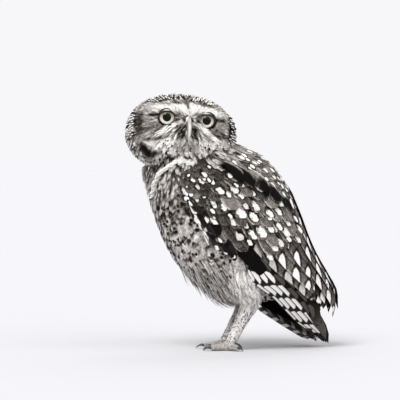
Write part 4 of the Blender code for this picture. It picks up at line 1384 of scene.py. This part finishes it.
# each ball is a sphere with a slight bulge round the gaze, and its lid a profile turned about it
def makeEyes():
    ballMaterial, lidMaterial = eyeMaterials()
    level, radius = cos(eyeLook["gazeUp"]), headShape["eyeRadius"]
    gaze = np.array([sin(eyeLook["gaze"]) * level, -cos(eyeLook["gaze"]) * level, sin(eyeLook["gazeUp"])])
    across = unit(np.cross((0.0, 0.0, 1.0), gaze))
    above = np.cross(gaze, across)

    # at a tilt from the gaze and a turn round it
    def way(tilt, turn):
        aside, high = np.sin(tilt) * np.cos(turn), np.sin(tilt) * np.sin(turn)
        return np.cos(tilt)[..., None] * gaze + aside[..., None] * across + high[..., None] * above

    for side, end in ((1, "left"), (-1, "right")):
        aside = side * headShape["eyeSpread"]
        centre = inHead(np.array([headShape["eyeForward"], aside, headShape["eyeHeight"]]))
        tilt, turn = grid(np.linspace(0, pi, 40)[1:-1], turns(48)[::-1])
        rings = centre + way(tilt, turn) * (radius + eyeLook["bulge"] * hill(tilt, 0, 0.5))[..., None]
        poles = centre + gaze * (radius + eyeLook["bulge"]), centre - gaze * radius
        ball = makeObject("eyeball_" + end, *lofted(rings, *poles))
        addValue(ball, "off", np.append(np.sin(np.minimum(tilt, pi / 2)) * radius, [0, radius]))
        addValue(ball, "high", np.append(np.sin(turn) * np.sin(tilt), [0, 0]))
        finishPiece(ball, ballMaterial, "eye_" + end, slot="eye")

        # the lid is drawn out to a corner toward the bill, a shorter one outward, and under the brow
        turn = turns(96)
        inward = np.cos(turn - (pi if side > 0 else 0.0))
        corner = np.exp(-((1 - inward) / 0.10)) * 1.6 + np.exp(-((1 + inward) / 0.10)) * 1.2
        brow = hill(turn, pi / 2, 0.75)
        fromRing = eyeLook["lidIn"] - 1.35 * brow + 0.4 * corner
        toRing = eyeLook["lidOut"] + corner + 0.85 * brow
        share, stand = np.array(eyeLook["lidProfile"]).T[..., None]
        distance = blend(fromRing, toRing, share)
        lean = np.arcsin(np.clip(distance / (radius + 0.2), -1, 0.98))
        points = centre + (radius + 0.25 + stand)[..., None] * way(lean, turn)
        around, profile = len(turn), len(share)
        j, k = grid(np.arange(around), np.arange(profile))
        nextJ, nextK = (j + 1) % around, (k + 1) % profile
        quads = np.stack([k * around + j, nextK * around + j, nextK * around + nextJ, k * around + nextJ], -1)
        lid = makeObject("lid_" + end, points.reshape(-1, 3), [quads.reshape(-1, 4)])
        # the upper lid's outer part is covered with short pale down
        addValue(lid, "pale", (ease(distance - fromRing, 0.7, 1.2) * 0.8 * np.exp(-corner * 4)).ravel())
        finishPiece(lid, lidMaterial, slot="leg_skin")


makeEyes()
print("eyes set")


billShape = {
    # front, up, half height and half width of the upper and the lower bill, and where each ends
    "upper": [(25, 7.0, 4.2, 2.5), (33, 7.4, 3.8, 2.2), (37.2, 6.2, 3.4, 1.95), (39.4, 3.2, 2.8, 1.8),
              (40.3, -0.6, 2.0, 1.45), (39.8, -4.6, 1.0, 0.7)],
    "lower": [(25, -0.2, 4.0, 3.4), (32, -0.6, 3.8, 3.2), (36.2, -1.6, 2.8, 2.3), (38.2, -3.2, 1.2, 1.0)],
    "upperTip": (39.5, -6.0), "lowerTip": (38.9, -4.4),
    "stops": [(0.0, (0.03, 0.03, 0.025)), (1.0, (0.80, 0.78, 0.72)), (0.5, (0.28, 0.27, 0.245))],
    "clawStops": [(0.0, (0.01, 0.01, 0.01)), (1.0, (0.09, 0.085, 0.08))],
}


# an oval carried along a curve through the rows, square to it
def makeBill():
    material, start = newMaterial("billHorn", 0.35)
    stretched = start.node("ShaderNodeMapping", values={"Vector": start.place(), "Scale": (1.0, 1.0, 0.25)})
    noise = start.noise(900.0, 4.0, stretched)
    tone = 0.80 - (1.0 - start.read("run").ease(0.15, 0.6)) * 0.25 + (noise - 0.5) * 0.35
    # painted shade: the bill is darker along its flanks than on its ridge
    tone = tone - start.read("flank").ease(0.45, 1.0) * 0.45
    dress(material, tone, billShape["stops"], (noise, 0.15, 0.0003))
    for name in ("upper", "lower"):
        table = np.array(billShape[name], float)
        at = np.linspace(0, len(table) - 1, 6 * len(table))
        values = through(np.column_stack([np.arange(len(table)), table]), at)
        ahead = unit(np.gradient(values[:, :2], axis=0))
        turn = turns(24)
        front, up, high, wide = values.T[..., None]
        front, up = front - ahead[:, 1:] * high * np.cos(turn), up + ahead[:, :1] * high * np.cos(turn)
        rings = inHead(np.stack([front, wide * np.sin(turn), up], -1))
        poles = inHead(np.array([(x, 0.0, z) for x, z in (table[0, :2], billShape[name + "Tip"])]))
        piece = makeObject("bill" + name.capitalize(), *lofted(rings, *poles))
        addValue(piece, "run", np.append(np.repeat(at / at[-1], len(turn)), [0, 1]))
        addValue(piece, "flank", np.append(np.tile(np.abs(np.sin(turn)), len(at)), [0, 0]))
        finishPiece(piece, material, "bill_" + name, slot="horn")


makeBill()
print("bill set")

clawHorn, start = newMaterial("clawHorn", 0.3)
dress(clawHorn, start.noise(1200.0, 3.0), billShape["clawStops"])
for name, node in frame["nodes"].items():
    if name.startswith("claw_"):
        node.data.materials.clear()
        node.data.materials.append(clawHorn)
